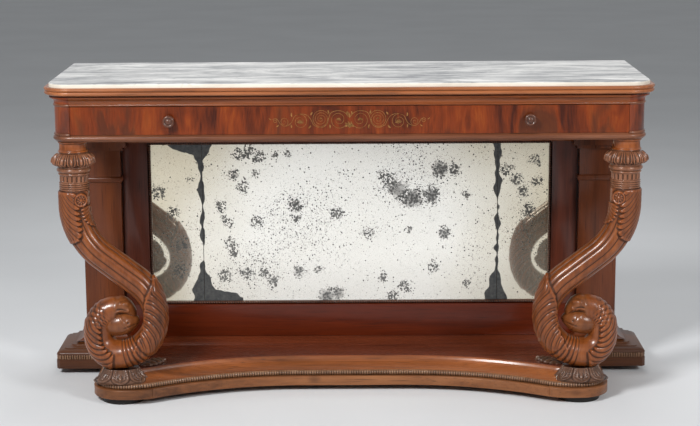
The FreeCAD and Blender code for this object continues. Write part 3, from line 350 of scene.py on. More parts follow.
# %% Marble finish
def marble_finish():
    """Clouds and veins on a pale ground, warmer on the upright edge."""
    material, at = start_finish("veined_marble")
    drift = at.stretch((0.9, 3.6, 3.6))
    cloud = drift.noise(3.2, 5.0, 0.62, 1.1)
    fleck = drift.noise(34.0, 3.0, 0.6)
    line = drift.noise(2.4, 4.0, 0.55, 1.8) - 0.5
    vein = 1 - abs(line).above(0.0, 0.028)
    tone = cloud * 0.8 + fleck * 0.2
    colour = tone.ramp((0.36, rgb(128, 130, 134)), (0.5, rgb(202, 202, 201)), (0.64, rgb(238, 237, 234)))
    colour = (vein * 0.5).mix(colour, (*rgb(150, 150, 152), 1.0))
    normal = at.node("ShaderNodeNewGeometry", {}, {}, "Normal")
    edge = 1 - normal.part("Z").above(0.3, 0.8)
    colour = (edge * 0.75).mix(colour, (*rgb(240, 232, 214), 1.0))
    return end_finish(material, {
        "Base Color": colour,
        "Roughness": 0.54 + fleck * 0.16,
        "Normal": fleck.bump(0.1 * MM, 0.3),
        "Specular IOR Level": 0.25,
    })


veined_marble = marble_finish()

# %% [markdown]
# ## Old mirror plates
# The silvering has failed in places: slate-grey patches at the plate joints, smudges made of many
# spots, and hundreds of specks.
# A patch at a joint is a width that changes with height; a smudge is a soft circle broken up by noise;
# a speck is a dot in a Voronoi cell, kept or dropped by the cell's own random number.
# Sound silver is a bright metal, and a bare patch shows the dark backing through clear glass.

# %% Soft circles and specks
CENTIMETRE = 10 * MM


def largest(*fields):
    """The largest of several fields at each point."""
    most = fields[0]
    for field in fields[1:]:
        most = most.math("MAXIMUM", most, field)
    return most


def soft_circles(at, places):
    """The largest of one minus distance over radius, for circles in the plate's plane set in centimetres."""
    circles = []
    for x, z, radius in places:
        sockets = {0: at.stretch((1, 0, 1), (-x * CENTIMETRE, 0, -z * CENTIMETRE))}
        away = at.node("ShaderNodeVectorMath", {"operation": "LENGTH"}, sockets, "Value")
        circles.append(1 - away / (radius * CENTIMETRE))
    return largest(*circles)


def specks(at, scale, density, size):
    """Dots in Voronoi cells, each kept where its random number is under the density."""
    cells = {"Vector": at.stretch((1, 0, 1)), "Scale": scale}
    distance = at.node("ShaderNodeTexVoronoi", {}, cells, "Distance")
    colour = Field(at.tree, distance.socket.node.outputs["Color"])
    chance = at.node("ShaderNodeSeparateColor", {}, {"Color": colour})
    share = Field(at.tree, chance.socket.node.outputs["Green"])
    return (density - chance).above(0.0, 0.02) * (size + share * 0.24 - distance).above(0.0, 0.1)


slip_low, slip_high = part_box("mirror_slips")
print("glass from %.3f m to %.3f m" % (slip_low.z, slip_high.z))

# %% [markdown]
# The joints failed most at the top and the bottom, where damp came in.
# Each patch is a list of heights and widths, both in shares, on one side of a joint; noise makes its
# edge ragged.

# %% Patches at the joints
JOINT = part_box("centre_mirror_plate")[1].x
WIDEST = 0.15
LEFT_PATCHES = (
    ((0, 0.27), (0.06, 0.24), (0.15, 0.19), (0.22, 0.1), (0.26, 0.02), (0.38, 0.02), (0.43, 0.1),
     (0.48, 0.05), (0.88, 0.09), (0.92, 0.18), (0.95, 0.55), (1, 0.75)),
    ((0, 0.82), (0.06, 0.72), (0.09, 0.22), (0.15, 0.12), (0.2, 0.08), (0.24, 0.02), (0.52, 0.02),
     (0.56, 0.06), (0.88, 0.03), (0.93, 0.13), (1, 0.23)),
)
RIGHT_PATCHES = (
    ((0, 0.28), (0.05, 0.24), (0.13, 0.17), (0.21, 0.1), (0.25, 0.03), (0.34, 0.03), (0.6, 0.05), (1, 0.09)),
    ((0, 0.25), (0.07, 0.2), (0.13, 0.15), (0.21, 0.08), (0.27, 0.03), (0.34, 0.06), (0.7, 0.05), (1, 0.08)),
)


def joint_patches(at, x, height):
    """How far inside a failed patch a point lies: its width at this height less the way to the joint."""
    cells = {"Vector": at.stretch((1, 0, 1)), "Scale": 34.0}
    lumps = at.node("ShaderNodeTexVoronoi", {"feature": "SMOOTH_F1"}, cells, "Distance")
    bent = height + (at.noise(24.0, 2.0) - 0.5) * 0.05
    reaches = []
    for joint, patches in ((-JOINT, LEFT_PATCHES), (JOINT, RIGHT_PATCHES)):
        for way, stops in zip((-1, 1), patches):
            width = bent.ramp(*[(place, (value, value, value)) for place, value in stops]) * WIDEST
            out = (x - joint) * way
            reaches.append((width + (0.4 - lumps) * 0.024 - out) * out.above(-1 * MM, 0.0))
    return largest(*reaches)


print("joints at %.3f m on both sides" % JOINT)

# %% [markdown]
# Smudges lie where damp crept in behind the glass, grey ones where the silver only thinned, and fine
# specks crowd round both.
# Their places are set to whole centimetres, because only the large ones are missed when they
# are wrong.

# %% Places of the smudges
SMUDGES = (
    (-34, 66, 3), (-31, 67, 3), (-28, 65, 3), (-29, 60, 2), (-33, 56, 3), (-36, 60, 3), (-23, 66, 2),
    (-19, 66, 2), (-40, 50, 3), (-38, 45, 3), (-37, 38, 3), (-36, 35, 2), (-39, 28, 3), (-32, 29, 3),
    (-27, 29, 2), (-24, 26, 3), (-17, 50, 3), (-17, 46, 2), (-4, 47, 3), (-16, 29, 3), (-10, 30, 2),
    (-7, 21, 4), (-4, 22, 3), (-29, 45, 3), (-59, 54, 3), (-55, 48, 3), (-49, 58, 2), (-52, 38, 3),
    (-53, 29, 4), (11, 59, 4), (13, 56, 4), (17, 53, 4), (20, 52, 4), (25, 53, 4), (28, 61, 4), (32, 61, 3),
    (36, 53, 2), (29, 41, 3), (6, 41, 3), (10, 27, 3), (13, 21, 3), (17, 24, 3), (26, 30, 3), (36, 25, 2),
    (18, 42, 2), (48, 61, 3), (51, 58, 3), (53, 54, 3), (55, 48, 3), (57, 64, 3), (58, 57, 3),
)
GREY_PLACES = (
    (-7, 21, 4), (-4, 22, 3), (15, 55, 4), (19, 52, 4), (25, 53, 3), (29, 41, 2), (-16, 29, 2), (28, 61, 3),
)
CROWDS = ((-15, 43, 17), (20, 57, 15), (-30, 30, 12), (-56, 35, 10), (55, 42, 12))
BLOOM = ((0, 36, 70),)
print("smudges:", len(SMUDGES), "grey places:", len(GREY_PLACES))

# %% [markdown]
# The finish adds these up: where the silver is sound it is a bright metal with a cream bloom, and where
# it is lost the dark backing shows.
# One mask drives colour, metal and roughness together, so that every spot is dull as well as dark.

# %% Foxed silver
SEAM = 1.2 * MM


def foxed_silver():
    """Silver with joint patches, speckled smudges and a cream bloom; metal turns dark where it is lost."""
    material, at = start_finish("foxed_silver")
    x = at.part("X")
    height = (at.part("Z") - slip_low.z) / (slip_high.z - slip_low.z)
    ragged = at.noise(95.0, 3.0, 0.65)
    seam = 1 - abs(abs(x) - JOINT).above(0.5 * SEAM, SEAM)
    patch = joint_patches(at, x, height).above(0.0, 2 * MM)
    smudge = soft_circles(at, SMUDGES) + (at.noise(60.0, 3.0, 0.6) - 0.5) * 1.6
    crowd = soft_circles(at, CROWDS).above(0.0, 0.9)
    drift = at.noise(9.0, 3.0, 0.6).above(0.42, 0.7)
    density = 0.06 + crowd * 0.6 + drift * 0.25 + smudge.above(0.0, 0.6) * 0.65
    size = 0.17 + smudge.above(0.1, 0.7) * 0.3
    dots = specks(at, 150.0, density, size)
    grains = specks(at, 240.0, density, size)
    dust = specks(at, 420.0, density * 0.8 + 0.08, 0.2)
    soft = (soft_circles(at, GREY_PLACES) + (ragged - 0.5) * 1.8).above(0.1, 0.9)
    bare = largest(patch, seam, dots * 0.92, grains * 0.85, dust * 0.6, soft * 0.6)
    bloom = at.noise(3.4, 3.0) * 0.4 + soft_circles(at, BLOOM).above(0.0, 0.7) * 0.6
    bright = bloom.ramp((0.2, rgb(206, 195, 170)), (0.45, rgb(225, 219, 205)), (0.75, rgb(243, 240, 233)))
    backing = ragged.ramp((0.3, rgb(46, 48, 50)), (0.7, rgb(78, 78, 76)))
    backing = seam.mix(backing, (*rgb(24, 22, 20), 1.0))
    return end_finish(material, {
        "Base Color": bare.mix(bright, backing),
        "Metallic": 0.78 - bare * 0.6,
        "Roughness": 0.03 + bare * 0.2 + ragged * 0.02,
    })


silver = foxed_silver()

# %% [markdown]
# ## Finishes on the boards that stay
# The flat boards, rails and linings are right as they come from the frame, so each only takes a finish.
# A table from finish to nodes keeps that in one place.

# %% Finish the kept nodes
def iron_finish():
    """Dull screws with a rust-brown bloom."""
    material, at = start_finish("screw_iron")
    bloom = at.noise(240.0, 3.0)
    return end_finish(material, {
        "Base Color": bloom.ramp((0.35, rgb(70, 66, 62)), (0.7, rgb(112, 84, 62))),
        "Metallic": 1 - bloom.above(0.5, 0.8) * 0.6,
        "Roughness": 0.4 + bloom * 0.3,
    })


def both(name):
    """The names of a left and a right piece."""
    return ["left_" + name, "right_" + name]


KEPT = (
    (veined_marble, ["marble_top"]),
    (cornice_front, ["front_cornice"]),
    (cornice_side, both("cornice")),
    (rail_wood, ["upper_front_rail", "mirror_top_rail"]),
    (roll_wood, ["lower_front_rail"]),
    (side_wood, both("frieze_side")),
    (drawer_veneer, ["drawer_front"] + both("corner_column")),
    (upright_wood, both("pilaster") + both("pilaster_mouldings")),
    (shaded_stile_wood, both("mirror_stile")),
    (frame_wood, ["mirror_bottom_rail"]),
    (platform_wood, ["base_board"]),
    (platform_back, ["plinth_board"]),
    (fascia_wood, ["front_fascia"] + both("foot_block")),
    (lining_x, ["drawer_back", "drawer_bottom", "top_board", "frieze_back_rail", "plinth_back_rail"]),
    (lining_y, both("drawer_side") + ["drawer_runners", "drawer_guides", "base_battens"]),
    (lining_z, ["backboard", "leg_dowels"]),
    (black_wood, ["pad_feet"]),
    (silver, both("mirror_plate") + ["centre_mirror_plate"]),
    (iron_finish(), ["backboard_screws"]),
)
for finish, names in KEPT:
    for node_name in names:
        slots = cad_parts[node_name].data.materials
        slots.clear()
        slots.append(finish)
print("finished", sum(len(names) for _, names in KEPT), "kept nodes")

# %% [markdown]
# ## Eased edges
# A board's edges are never knife-sharp: a stroke of the plane eases them, and that thin round catches
# the light and draws a dark line where two boards meet.
# A node stays as it is, so a copy has its triangles merged into faces, takes a Bevel and stands for the
# node.

# %% Eased edges
EASED = ["upper_front_rail", "lower_front_rail", "mirror_top_rail", "mirror_bottom_rail", "plinth_board",
         "front_fascia"]
for pair in ("corner_column", "frieze_side", "pilaster", "mirror_stile", "foot_block"):
    EASED += both(pair)
EASE_WIDTH = 1.4 * MM
EASE_ANGLE = math.radians(40)
FLAT_ANGLE = math.radians(0.5)
SAME_PLACE = 0.01 * MM


def eased_copy(node_name):
    """A node's copy with merged faces and bevelled sharp edges, standing for the node."""
    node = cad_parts[node_name]
    form = bmesh.new()
    form.from_mesh(node.data)
    bmesh.ops.remove_doubles(form, verts=form.verts, dist=SAME_PLACE)
    bmesh.ops.dissolve_limit(form, angle_limit=FLAT_ANGLE, verts=form.verts, edges=form.edges)
    mesh = bpy.data.meshes.new("eased_" + node_name)
    form.to_mesh(mesh)
    form.free()
    mesh.materials.append(node.data.materials[0])
    mesh.polygons.foreach_set("use_smooth", np.full(len(mesh.polygons), True))
    piece = bpy.data.objects.new("eased_" + node_name, mesh)
    bpy.context.scene.collection.objects.link(piece)
    bevel = piece.modifiers.new("eased", "BEVEL")
    bevel.width = EASE_WIDTH
    bevel.segments = 2
    bevel.limit_method = "ANGLE"
    bevel.angle_limit = EASE_ANGLE
    bevel.harden_normals = True
    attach(piece, "carcass")
    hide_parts(node_name)


for node_name in EASED:
    eased_copy(node_name)
print("eased", len(EASED), "boards")

# %% [markdown]
# ## Surfaces from grids
# Every carved or turned piece is a grid of points: one parameter runs along the piece and one runs
# round it.
# A grid could be built corner by corner, but whole arrays are shorter to write and quick to change.
# A grid needs its cells, a fan that closes each end, and its volume, which tells the inside from the
# outside.

# %% Cells of a grid
def turn_grid(rows, columns, first=0.0, last=1.0, start=0.0):
    """A parameter from first to last along the rows, and a full turn of angles round the columns."""
    along = np.linspace(first, last, rows)
    turn = np.linspace(start, start + 2 * np.pi, columns, endpoint=False)
    return np.meshgrid(along, turn, indexing="ij")


def grid_cells(rows, columns):
    """Corner numbers of every cell of a grid whose last column joins its first."""
    numbers = np.arange(rows * columns).reshape(rows, columns)
    numbers = np.hstack([numbers, numbers[:, :1]])
    corners = (numbers[:-1, :-1], numbers[1:, :-1], numbers[1:, 1:], numbers[:-1, 1:])
    return np.stack(corners, axis=-1).reshape(-1, 4)


def end_fan(row, middle):
    """Triangles from a ring of corner numbers to one middle corner."""
    return np.stack([row, np.roll(row, -1), np.full(row.shape, middle)], axis=-1)


def volume(points, triangles):
    """Volume inside closed triangles: a sixth of the sum of their corners' triple products."""
    a, b, c = (points[triangles[:, k]] for k in range(3))
    return float(np.einsum("ij,ij->i", a, np.cross(b, c)).sum()) / 6


print("a grid of 3 rows and 4 columns has", len(grid_cells(3, 4)), "cells")

# %% [markdown]
# A tube is a grid that wraps round, with a fan at each end so that it would hold water.
# A tube that comes out inside out has a negative volume, and then its faces are turned.
# Looking for the outside by eye would be slower, and easy to get wrong on a mirrored support.

# %% Closed tubes
def tube(points, wear_and_shade=None):
    """A closed shell from a grid of points that wraps round: quads, end fans, and the wear and painted shade
    of each corner.
    """
    rows, columns, _ = points.shape
    count = rows * columns
    ends = np.stack([points[0].mean(0), points[-1].mean(0)])
    corners = np.vstack([points.reshape(-1, 3), ends])
    quads = grid_cells(rows, columns)
    first = end_fan(np.arange(columns)[::-1], count)
    last = end_fan(np.arange(count - columns, count), count + 1)
    fans = np.vstack([first, last])
    halves = np.vstack([quads[:, [0, 1, 2]], quads[:, [0, 2, 3]], fans])
    if volume(corners, halves) < 0:
        quads = quads[:, ::-1]
        fans = fans[:, ::-1]
    # worn carries the wear and painted shade of each corner.
    worn = np.zeros((rows, columns)) if wear_and_shade is None else wear_and_shade
    worn = np.concatenate([worn.reshape(-1), [worn[0].mean(), worn[-1].mean()]])
    return corners, quads, fans, worn


def mirrored(shells):
    """The same shells on the other side of the middle plane, faces still outwards."""
    turn = np.array([-1.0, 1.0, 1.0])
    return [(corners * turn, quads[:, ::-1], fans[:, ::-1], worn) for corners, quads, fans, worn in shells]


rise, turn = turn_grid(2, 16)
drum = tube(np.stack([np.cos(turn), np.sin(turn), rise], axis=-1))
print("a test drum has", len(drum[1]), "sides and", len(drum[2]), "end triangles")

# %% [markdown]
# Several shells make one piece, as a head is a skull and a bill.
# The piece keeps its place in its mesh, rides on a body of the frame and stands for the plain solids
# below it.
# The wear and painted shade of each corner go into an attribute that the carved finish reads: hollows get
# painted shade, proud edges painted highlight.

# %% Pieces and pairs
def make_piece(name, shells, body, finish, replaced, sharp=math.pi):
    """Join shells into one object at the origin; it rides on a body and stands for the replaced nodes."""
    points, faces, wear_and_shade = [], [], []
    offset = 0
    for corners, quads, fans, worn in shells:
        points.append(corners)
        wear_and_shade.append(worn)
        faces += (quads + offset).tolist() + (fans + offset).tolist()
        offset += len(corners)
    mesh = bpy.data.meshes.new(name)
    mesh.from_pydata(np.vstack(points).tolist(), [], faces)
    mesh.polygons.foreach_set("use_smooth", np.full(len(faces), True))
    mesh.set_sharp_from_angle(angle=sharp)
    carve = mesh.attributes.new("carve", "FLOAT", "POINT")
    carve.data.foreach_set("value", np.concatenate(wear_and_shade).astype(np.float32))
    piece = bpy.data.objects.new(name, mesh)
    bpy.context.scene.collection.objects.link(piece)
    piece.data.materials.append(finish)
    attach(piece, body)
    if replaced:
        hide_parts(*replaced)
    print("made", name, "with", len(faces), "faces")


def make_pair(name, shells, finish, replaced, sharp=math.pi):
    """A right-hand piece and its mirror image on the carcass."""
    for side, side_shells in (("right_", shells), ("left_", mirrored(shells))):
        nodes = [side + node for node in replaced]
        make_piece(side + name, side_shells, "carcass", finish, nodes, sharp)


# %% [markdown]
# Carving is height added to a plain form.
# A smooth step joins two levels without a crease, and the height above the neighbourhood tells hollow
# from proud.
# The height of the neighbourhood is a mean over a small window, as in a blur.

# %% Relief helpers
SHADE_AND_WEAR_HEIGHT = 1.2 * MM


def ease(value):
    """A smooth step: 0 below 0, 1 above 1, and level at both ends."""
    value = np.clip(value, 0, 1)
    return value * value * (3 - 2 * value)


def hollows(relief, reach=4):
    """How far a carved surface stands above its neighbourhood, scaled to about -1 to 1."""
    rows = len(relief)
    ends = np.pad(relief, ((reach, reach), (0, 0)), mode="edge")
    mean = sum(ends[step:step + rows] for step in range(2 * reach + 1)) / (2 * reach + 1)
    mean = sum(np.roll(mean, step, 1) for step in range(-reach, reach + 1)) / (2 * reach + 1)
    return np.clip((relief - mean) / SHADE_AND_WEAR_HEIGHT, -1, 1)


print("smooth step at a quarter of the way: %.3f" % ease(0.25))

# %% [markdown]
# ## Carved wood
# The supports are carved from solid wood, stained, waxed and rubbed: wax stays dark in the hollows and
# the high edges are rubbed bright. The finish also paints shade into the hollows and highlight onto the high
# edges.
# Every carved grid stores how far each point stands above its neighbours, and the finish reads that
# number.

# %% Carved finish
def carved_finish(name, wood):
    """Wood streaks, darker wax and painted shade where the carving is hollow, and a rubbed tone with painted
    highlight where it is proud.
    """
    material, at = start_finish(name)
    carve = at.node("ShaderNodeAttribute", {"attribute_name": "carve"}, {}, "Fac")
    along = at.stretch((1.0, 1.0, 0.12))
    bands = along.noise(12.0, 3.0, 0.55, 1.2)
    streaks = along.noise(120.0, 4.0, 0.6)
    grime = at.noise(38.0, 3.0, 0.6)
    tone = bands * 0.65 + streaks * 0.4 + grime * 0.3 - 0.17
    colour = tone.ramp(*zip(TONE_PLACES, wood))
    # Painted shade with wax: the hollows darken, as wax would and as shade falls there.
    wax_and_shade = ((grime - 0.5) * 0.5 - carve).above(0.0, 0.7)
    # Painted highlight with wear: the proud edges lighten, as rubbing would and as light catches them.
    rubbed_and_highlight = (carve + (grime - 0.5) * 0.3).above(0.25, 0.95)
    colour = (wax_and_shade * 0.8).mix(colour, (*(0.14 * wood[1]), 1.0))
    colour = (rubbed_and_highlight * 0.35).mix(colour, (*(1.9 * wood[1]), 1.0))
    return end_finish(material, {
        "Base Color": colour,
        "Roughness": 0.3 + wax_and_shade * 0.3 + (streaks - 0.5) * 0.12,
        "Normal": (streaks * 0.6 + grime * 0.4).bump(0.3 * MM, 0.4),
        "Coat Weight": 0.3 - wax_and_shade * 0.28,
        "Coat Roughness": 0.12,
        "Specular IOR Level": 0.3,
    })


carved_wood = carved_finish("carved_wood", tones(117, 61, 25))

# %% [markdown]
# ## Turned necks
# Below the frieze each support has a turned spool, a collar of tongues and a bell with flutes and
# rings.
# A lathe gives a radius for each height; the carver then changes that radius with the angle.
# So each is one formula, radius from height and angle, on a grid round the support's axis.
# Radii are in millimetres up to the last step, because that is how a turner would read them.

# %% Lathe
low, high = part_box("right_leg_bell")
AXIS_X = (low.x + high.x) / 2
AXIS_Y = (low.y + high.y) / 2
BELL_BOTTOM, BELL_TOP = low.z, high.z
COLLAR_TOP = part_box("right_leaf_collar")[1].z
SPOOL_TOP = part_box("right_leg_spool")[1].z


def lathe(radius, level, angle, wear_and_shade):
    """A shell round the right support's axis from arrays of radius, level and angle."""
    x = AXIS_X + radius * np.sin(angle)
    y = AXIS_Y - radius * np.cos(angle)
    return tube(np.stack([x, y, level + 0 * radius], axis=-1), wear_and_shade)


def lathe_grid(rows, columns, bottom, top):
    """Heights from top to bottom as shares and metres, and angles from the front."""
    share, angle = turn_grid(rows, columns)
    return share, top - share * (top - bottom), angle


def rolled(share, middle, half):
    """A half-round bead of height 1 centred on a share of the turning."""
    return np.sqrt(np.clip(1 - ((share - middle) / half) ** 2, 0, 1))


print("axis of the right support: x %.3f m, y %.3f m" % (AXIS_X, AXIS_Y))

# %% [markdown]
# The spool is plain turning: a drum that narrows a little at its waist, one ring near its top and a
# flared foot.
# Each term of the radius is one cut of the gouge.

# %% Spool
def spool():
    """A nearly straight drum with a ring near its top and a small flare at its foot."""
    share, level, angle = lathe_grid(60, 96, COLLAR_TOP, SPOOL_TOP)
    radius = 40.5 - 1.6 * np.sin(np.pi * share) + 2.5 * ease((share - 0.84) / 0.14)
    radius = (radius + 3.0 * rolled(share, 0.13, 0.11)) * MM
    return lathe(radius, level, angle, hollows(radius))


# Painted light: a lighter, more golden tone than the other carving, partly the spool's own colour and partly
# light standing in where the frieze shades it.
spool_wood_painted_light = carved_finish("spool_wood_painted_light", tones(130, 68, 29))
make_pair("turned_spool", [spool()], spool_wood_painted_light, ["leg_spool"])

# %% [markdown]
# The collar hangs over the bell like a skirt of tongues.
# Its profile is a ring, a dome and the curve that turns under it.
# Round it, the way from a tongue's middle line says where the raised border, the bead and the gap lie,
# so one formula carves all the tongues.

# %% Collar
LOBES = 13
LOBE_TURN = math.radians(3)


def collar():
    """A ring, then a dome of tongues that turns under; each has a raised border and a long bead inside."""
    share, level, angle = lathe_grid(140, LOBES * 36, BELL_TOP, COLLAR_TOP)
    ring = 38 + 3 * rolled(share, 0.045, 0.045)
    dome = 37.5 + 23.5 * np.sqrt(1 - np.clip((0.68 - share) / 0.58, 0, 1) ** 2)
    under = 44 + 17 * np.sqrt(1 - np.clip((share - 0.68) / 0.2, 0, 1) ** 2)
    radius = np.select([share < 0.095, share < 0.68], [ring, dome], under)
    across = 2 * np.abs((LOBES * (angle + LOBE_TURN) / (2 * np.pi) + 0.5) % 1 - 0.5)
    down = np.clip((share - 0.1) / 0.78, 0, 1)
    tip = np.sqrt(np.clip(1 - (np.clip(down - 0.6, 0, 1) / 0.4) ** 2, 0.002, 1))
    out = across / (0.95 * tip)
    border = 4.0 * np.exp(-((out - 0.8) / 0.13) ** 2)
    bead_ends = ease((down - 0.15) / 0.2) * ease((0.9 - down) / 0.2)
    bead = 6.4 * np.clip(1 - (out / 0.4) ** 2, 0, 1) * bead_ends - 2.8
    gap = -3.5 * ease((out - 0.96) / 0.2)
    relief = (border + bead + gap) * ease((share - 0.1) / 0.07) * ease((0.9 - share) / 0.04)
    radius = (radius + relief) * MM
    return lathe(radius, level, angle, hollows(relief * MM))


neck_wood = carved_finish("neck_wood", tones(121, 77, 53))
make_pair("lobed_collar", [collar()], neck_wood, ["leaf_collar"])

# %% [markdown]
# The bell is turned first and carved second: its rim, fillet and rings come from the height alone, its
# flutes from the angle.
# The flutes fade out at both ends, as a gouge leaves them.

# %% Bell
FLUTES = 18
RINGS = 4
RING_RISE = 13 * MM


def bell():
    """A rim and a fillet, a fluted drum, and turned rings at its foot."""
    share, level, angle = lathe_grid(150, FLUTES * 14, BELL_BOTTOM + RING_RISE, BELL_TOP)
    drum = 41 + 7.2 * rolled(share, 0.1, 0.11) + 3.4 * rolled(share, 0.27, 0.055)
    turn = np.clip((share - 0.63) / 0.37, 0, 0.9999) * RINGS
    ring = 39.6 + 3.4 * np.sin(np.pi * (turn % 1)) ** 0.7
    radius = np.where(share > 0.63, ring, drum)
    zone = ease((share - 0.34) / 0.05) * ease((0.615 - share) / 0.05)
    flute = -3.0 * zone * np.clip(np.cos(FLUTES * angle) + 0.2, 0, 1)
    radius = (radius + flute) * MM
    return lathe(radius, level, angle, hollows(radius, 3))


make_pair("fluted_bell", [bell()], neck_wood, ["leg_bell"])

# %% [markdown]
# The frieze turns its corners in short columns, one above each support and on the same axis.
# A small ring marks the foot and the head of each column: a round bead bent through a quarter turn.

# %% Column rings
QUARTER = math.pi / 2
face_low, face_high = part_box("drawer_front")
CORNER_RADIUS = AXIS_Y - face_low.y
BEAD = 4.5 * MM


def column_ring(level):
    """A bead of one radius carried round a quarter circle of another, over half of it in the column."""
    bend, turn = turn_grid(40, 20, 0.0, QUARTER)
    radius = CORNER_RADIUS + BEAD * (np.cos(turn) - 0.2)
    x = AXIS_X + radius * np.sin(bend)
    y = AXIS_Y - radius * np.cos(bend)
    return tube(np.stack([x, y, level + BEAD * np.sin(turn)], axis=-1))


rings = [column_ring(face_low.z), column_ring(face_high.z + BEAD)]
make_pair("column_rings", rings, roll_wood, [])

# %% [markdown]
# ## The scroll supports
# Each support is an S-shaped scroll: it leaves the bell straight down, leans inwards, curls under and
# rises into a neck.
# Its centre line is straight runs and arcs joined smoothly, and an oval is carried along it.
# A free curve would do too, but arcs keep the lengths known, and the carving is placed by length.
# Each step below has a length or a radius, a turn, and the oval's half thickness and half depth at its
# end, all in shares of the scroll's drop.

# %% Steps of the scroll
low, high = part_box("right_scroll_leg")
SCROLL_TOP = high.z
SEAT_FLAT = 4 * MM
SLANT = math.radians(52.4)
TOP_SECTION = (0.0905, 0.0905)
SCROLL_STEPS = (
    (0.0923, 0, 0.0905, 0.0926),
    (0.401, SLANT, 0.0884, 0.0968),
    (0.249, 0, 0.0905, 0.1010),
    (0.289, -SLANT, 0.0716, 0.1010),
    (0.236, -QUARTER, 0.0905, 0.1052),
    (0.116, -QUARTER, 0.0758, 0.0884),
    (0.046, 0, 0.0758, 0.0884),
    (0.106, -QUARTER, 0.0779, 0.0758),
)
LOWEST_HALF = 0.0905


def follow_end(place, heading, size, turn):
    """Where one straight or arc ends."""
    if not turn:
        return place + size * np.array([math.cos(heading), math.sin(heading)])
    radius = math.copysign(size, turn)
    new = heading + turn
    return place + radius * np.array([math.sin(new) - math.sin(heading), math.cos(heading) - math.cos(new)])


def path_drop():
    """How far the path falls below its start, in shares."""
    place, heading, lowest = np.zeros(2), -QUARTER, 0.0
    for share, turn, _, _ in SCROLL_STEPS:
        place = follow_end(place, heading, share, turn)
        heading += turn
        lowest = min(lowest, place[1])
    return -lowest


SCROLL_UNIT = (high.z - low.z + SEAT_FLAT + RING_RISE) / (path_drop() + LOWEST_HALF)
print("drop of the scroll %.4f m" % SCROLL_UNIT)

# %% [markdown]
# Any distance along the path falls in one of its steps, which gives the centre, the heading and the
# oval there.
# The skin is that oval turned square to the path, and relief widens it where the carving stands proud.
# So any carving is only one more array of heights.

# %% Path and skin
def follow(distance, place, heading, section, steps, unit):
    """Centre, heading, half thickness and half depth at distances along joined straights and arcs."""
    centre = np.zeros(distance.shape + (2,))
    angle = np.zeros(distance.shape)
    size = np.zeros(distance.shape + (2,))
    start = 0.0
    for share, turn, thick, deep in steps:
        length = share * unit * (abs(turn) if turn else 1)
        part = np.clip((distance - start) / length, 0, 1)[..., None]
        direction = heading + turn * part
        if turn:
            radius = math.copysign(share * unit, turn)
            inward = radius * (np.sin(direction) - math.sin(heading))
            up = -radius * (np.cos(direction) - math.cos(heading))
        else:
            inward = part * length * math.cos(heading)
            up = part * length * math.sin(heading)
        here = distance >= start
        moved = np.concatenate([inward, up], axis=-1) + place
        centre[here] = moved[here]
        angle[here] = direction[here][..., 0]
        size[here] = (section + (np.array([thick, deep]) - section) * ease(part))[here]
        end = follow_end(place, heading, share * unit, turn)
        place, heading, section, start = end, heading + turn, np.array([thick, deep]), start + length
    return centre, angle, size * unit, start


def oval_skin(centre, heading, size, angle, relief):
    """Points of an oval carried along the path: thickness in the plane, depth to the front, plus relief."""
    across = (size[..., 0] + relief) * np.sin(angle)
    ahead = (size[..., 1] + relief) * np.cos(angle)
    inward = centre[..., 0] - np.sin(heading) * across
    up = centre[..., 1] + np.cos(heading) * across
    return np.stack([AXIS_X - inward, AXIS_Y - ahead, up], axis=-1)


SCROLL_START = (np.array([0.0, SCROLL_TOP + RING_RISE]), -QUARTER, np.array(TOP_SECTION))
SCROLL_LENGTH = follow(np.zeros(1), *SCROLL_START, SCROLL_STEPS, SCROLL_UNIT)[3]
print("path of the scroll %.4f m long" % SCROLL_LENGTH)

# %% [markdown]
# A leaf on a round stem needs its midrib, its width and its lobes: the lobes are bands that lean from
# the midrib towards the tip, rounded across, and the margin is scalloped by the same bands.

# %% Leaf relief
def around(angle, middle):
    """Smallest angle between two directions."""
    return np.abs(np.angle(np.exp(1j * (angle - middle))))


def leaf(distance, angle, ends, middle, widths, sweep, pitch, lift, lobe, curl,
         scallop=0.2, border=0.0, fine=0.0, even=0.0):
    """Height of a leaf on a stem, root to tip: widths are half angles at even shares, bands make lobes."""
    root, tip = ends
    along = (distance - root) / (tip - root)
    reach = np.radians(np.interp(along, np.linspace(0, 1, len(widths)), widths))
    across = around(angle, middle) / np.maximum(reach, 0.02)
    from_rib = np.clip(across, 0, 1)
    bend = np.sin(from_rib * QUARTER) * (1 - even) + from_rib * even
    band = (along * abs(tip - root) - sweep * bend) / pitch
    part = band % 1
    rounded = np.sin(np.pi * part) ** 0.55
    margin = 1 - scallop * (2 * part - 1) ** 2
    inside = ease((margin - across) / 0.08) * ease(along / 0.03) * ease((1 - along) / 0.02)
    end_curl = curl * np.exp(-((margin - across - 0.1) / 0.11) ** 2) * rounded
    edge = border * np.exp(-((margin - across - 0.07) / 0.05) ** 2)
    lines = -fine * np.exp(-((part - 0.66) / 0.11) ** 2)
    rib = 0.6 * lobe * np.exp(-(across / 0.06) ** 2)
    body = lift + lobe * rounded * (0.45 + 0.55 * from_rib) + rib + lines
    return inside * (body * (1 - 0.6 * edge / max(border, 1)) + end_curl + edge)


def rosette(distance, angle, centre, middle, radius, stem):
    """A round flower: a rim ring, a ring of beads and a button, by distance on the stem's surface."""
    over = around(angle, middle) * stem
    side = np.sin(angle - middle) * stem
    out = np.hypot(distance - centre, over) / radius
    turn = np.arctan2(side, distance - centre)
    rim = np.exp(-((out - 0.86) / 0.13) ** 2)
    beads = np.exp(-((out - 0.48) / 0.16) ** 2) * (0.55 + 0.45 * np.cos(9 * turn))
    button = np.exp(-(out / 0.2) ** 2)
    return ease((1.08 - out) / 0.1) * (0.6 + rim + 0.8 * beads + button)


print("a rosette's button stands %.2f parts high" % rosette(0.0, 0.0, 0.0, 0.0, 1.0, 1.0))

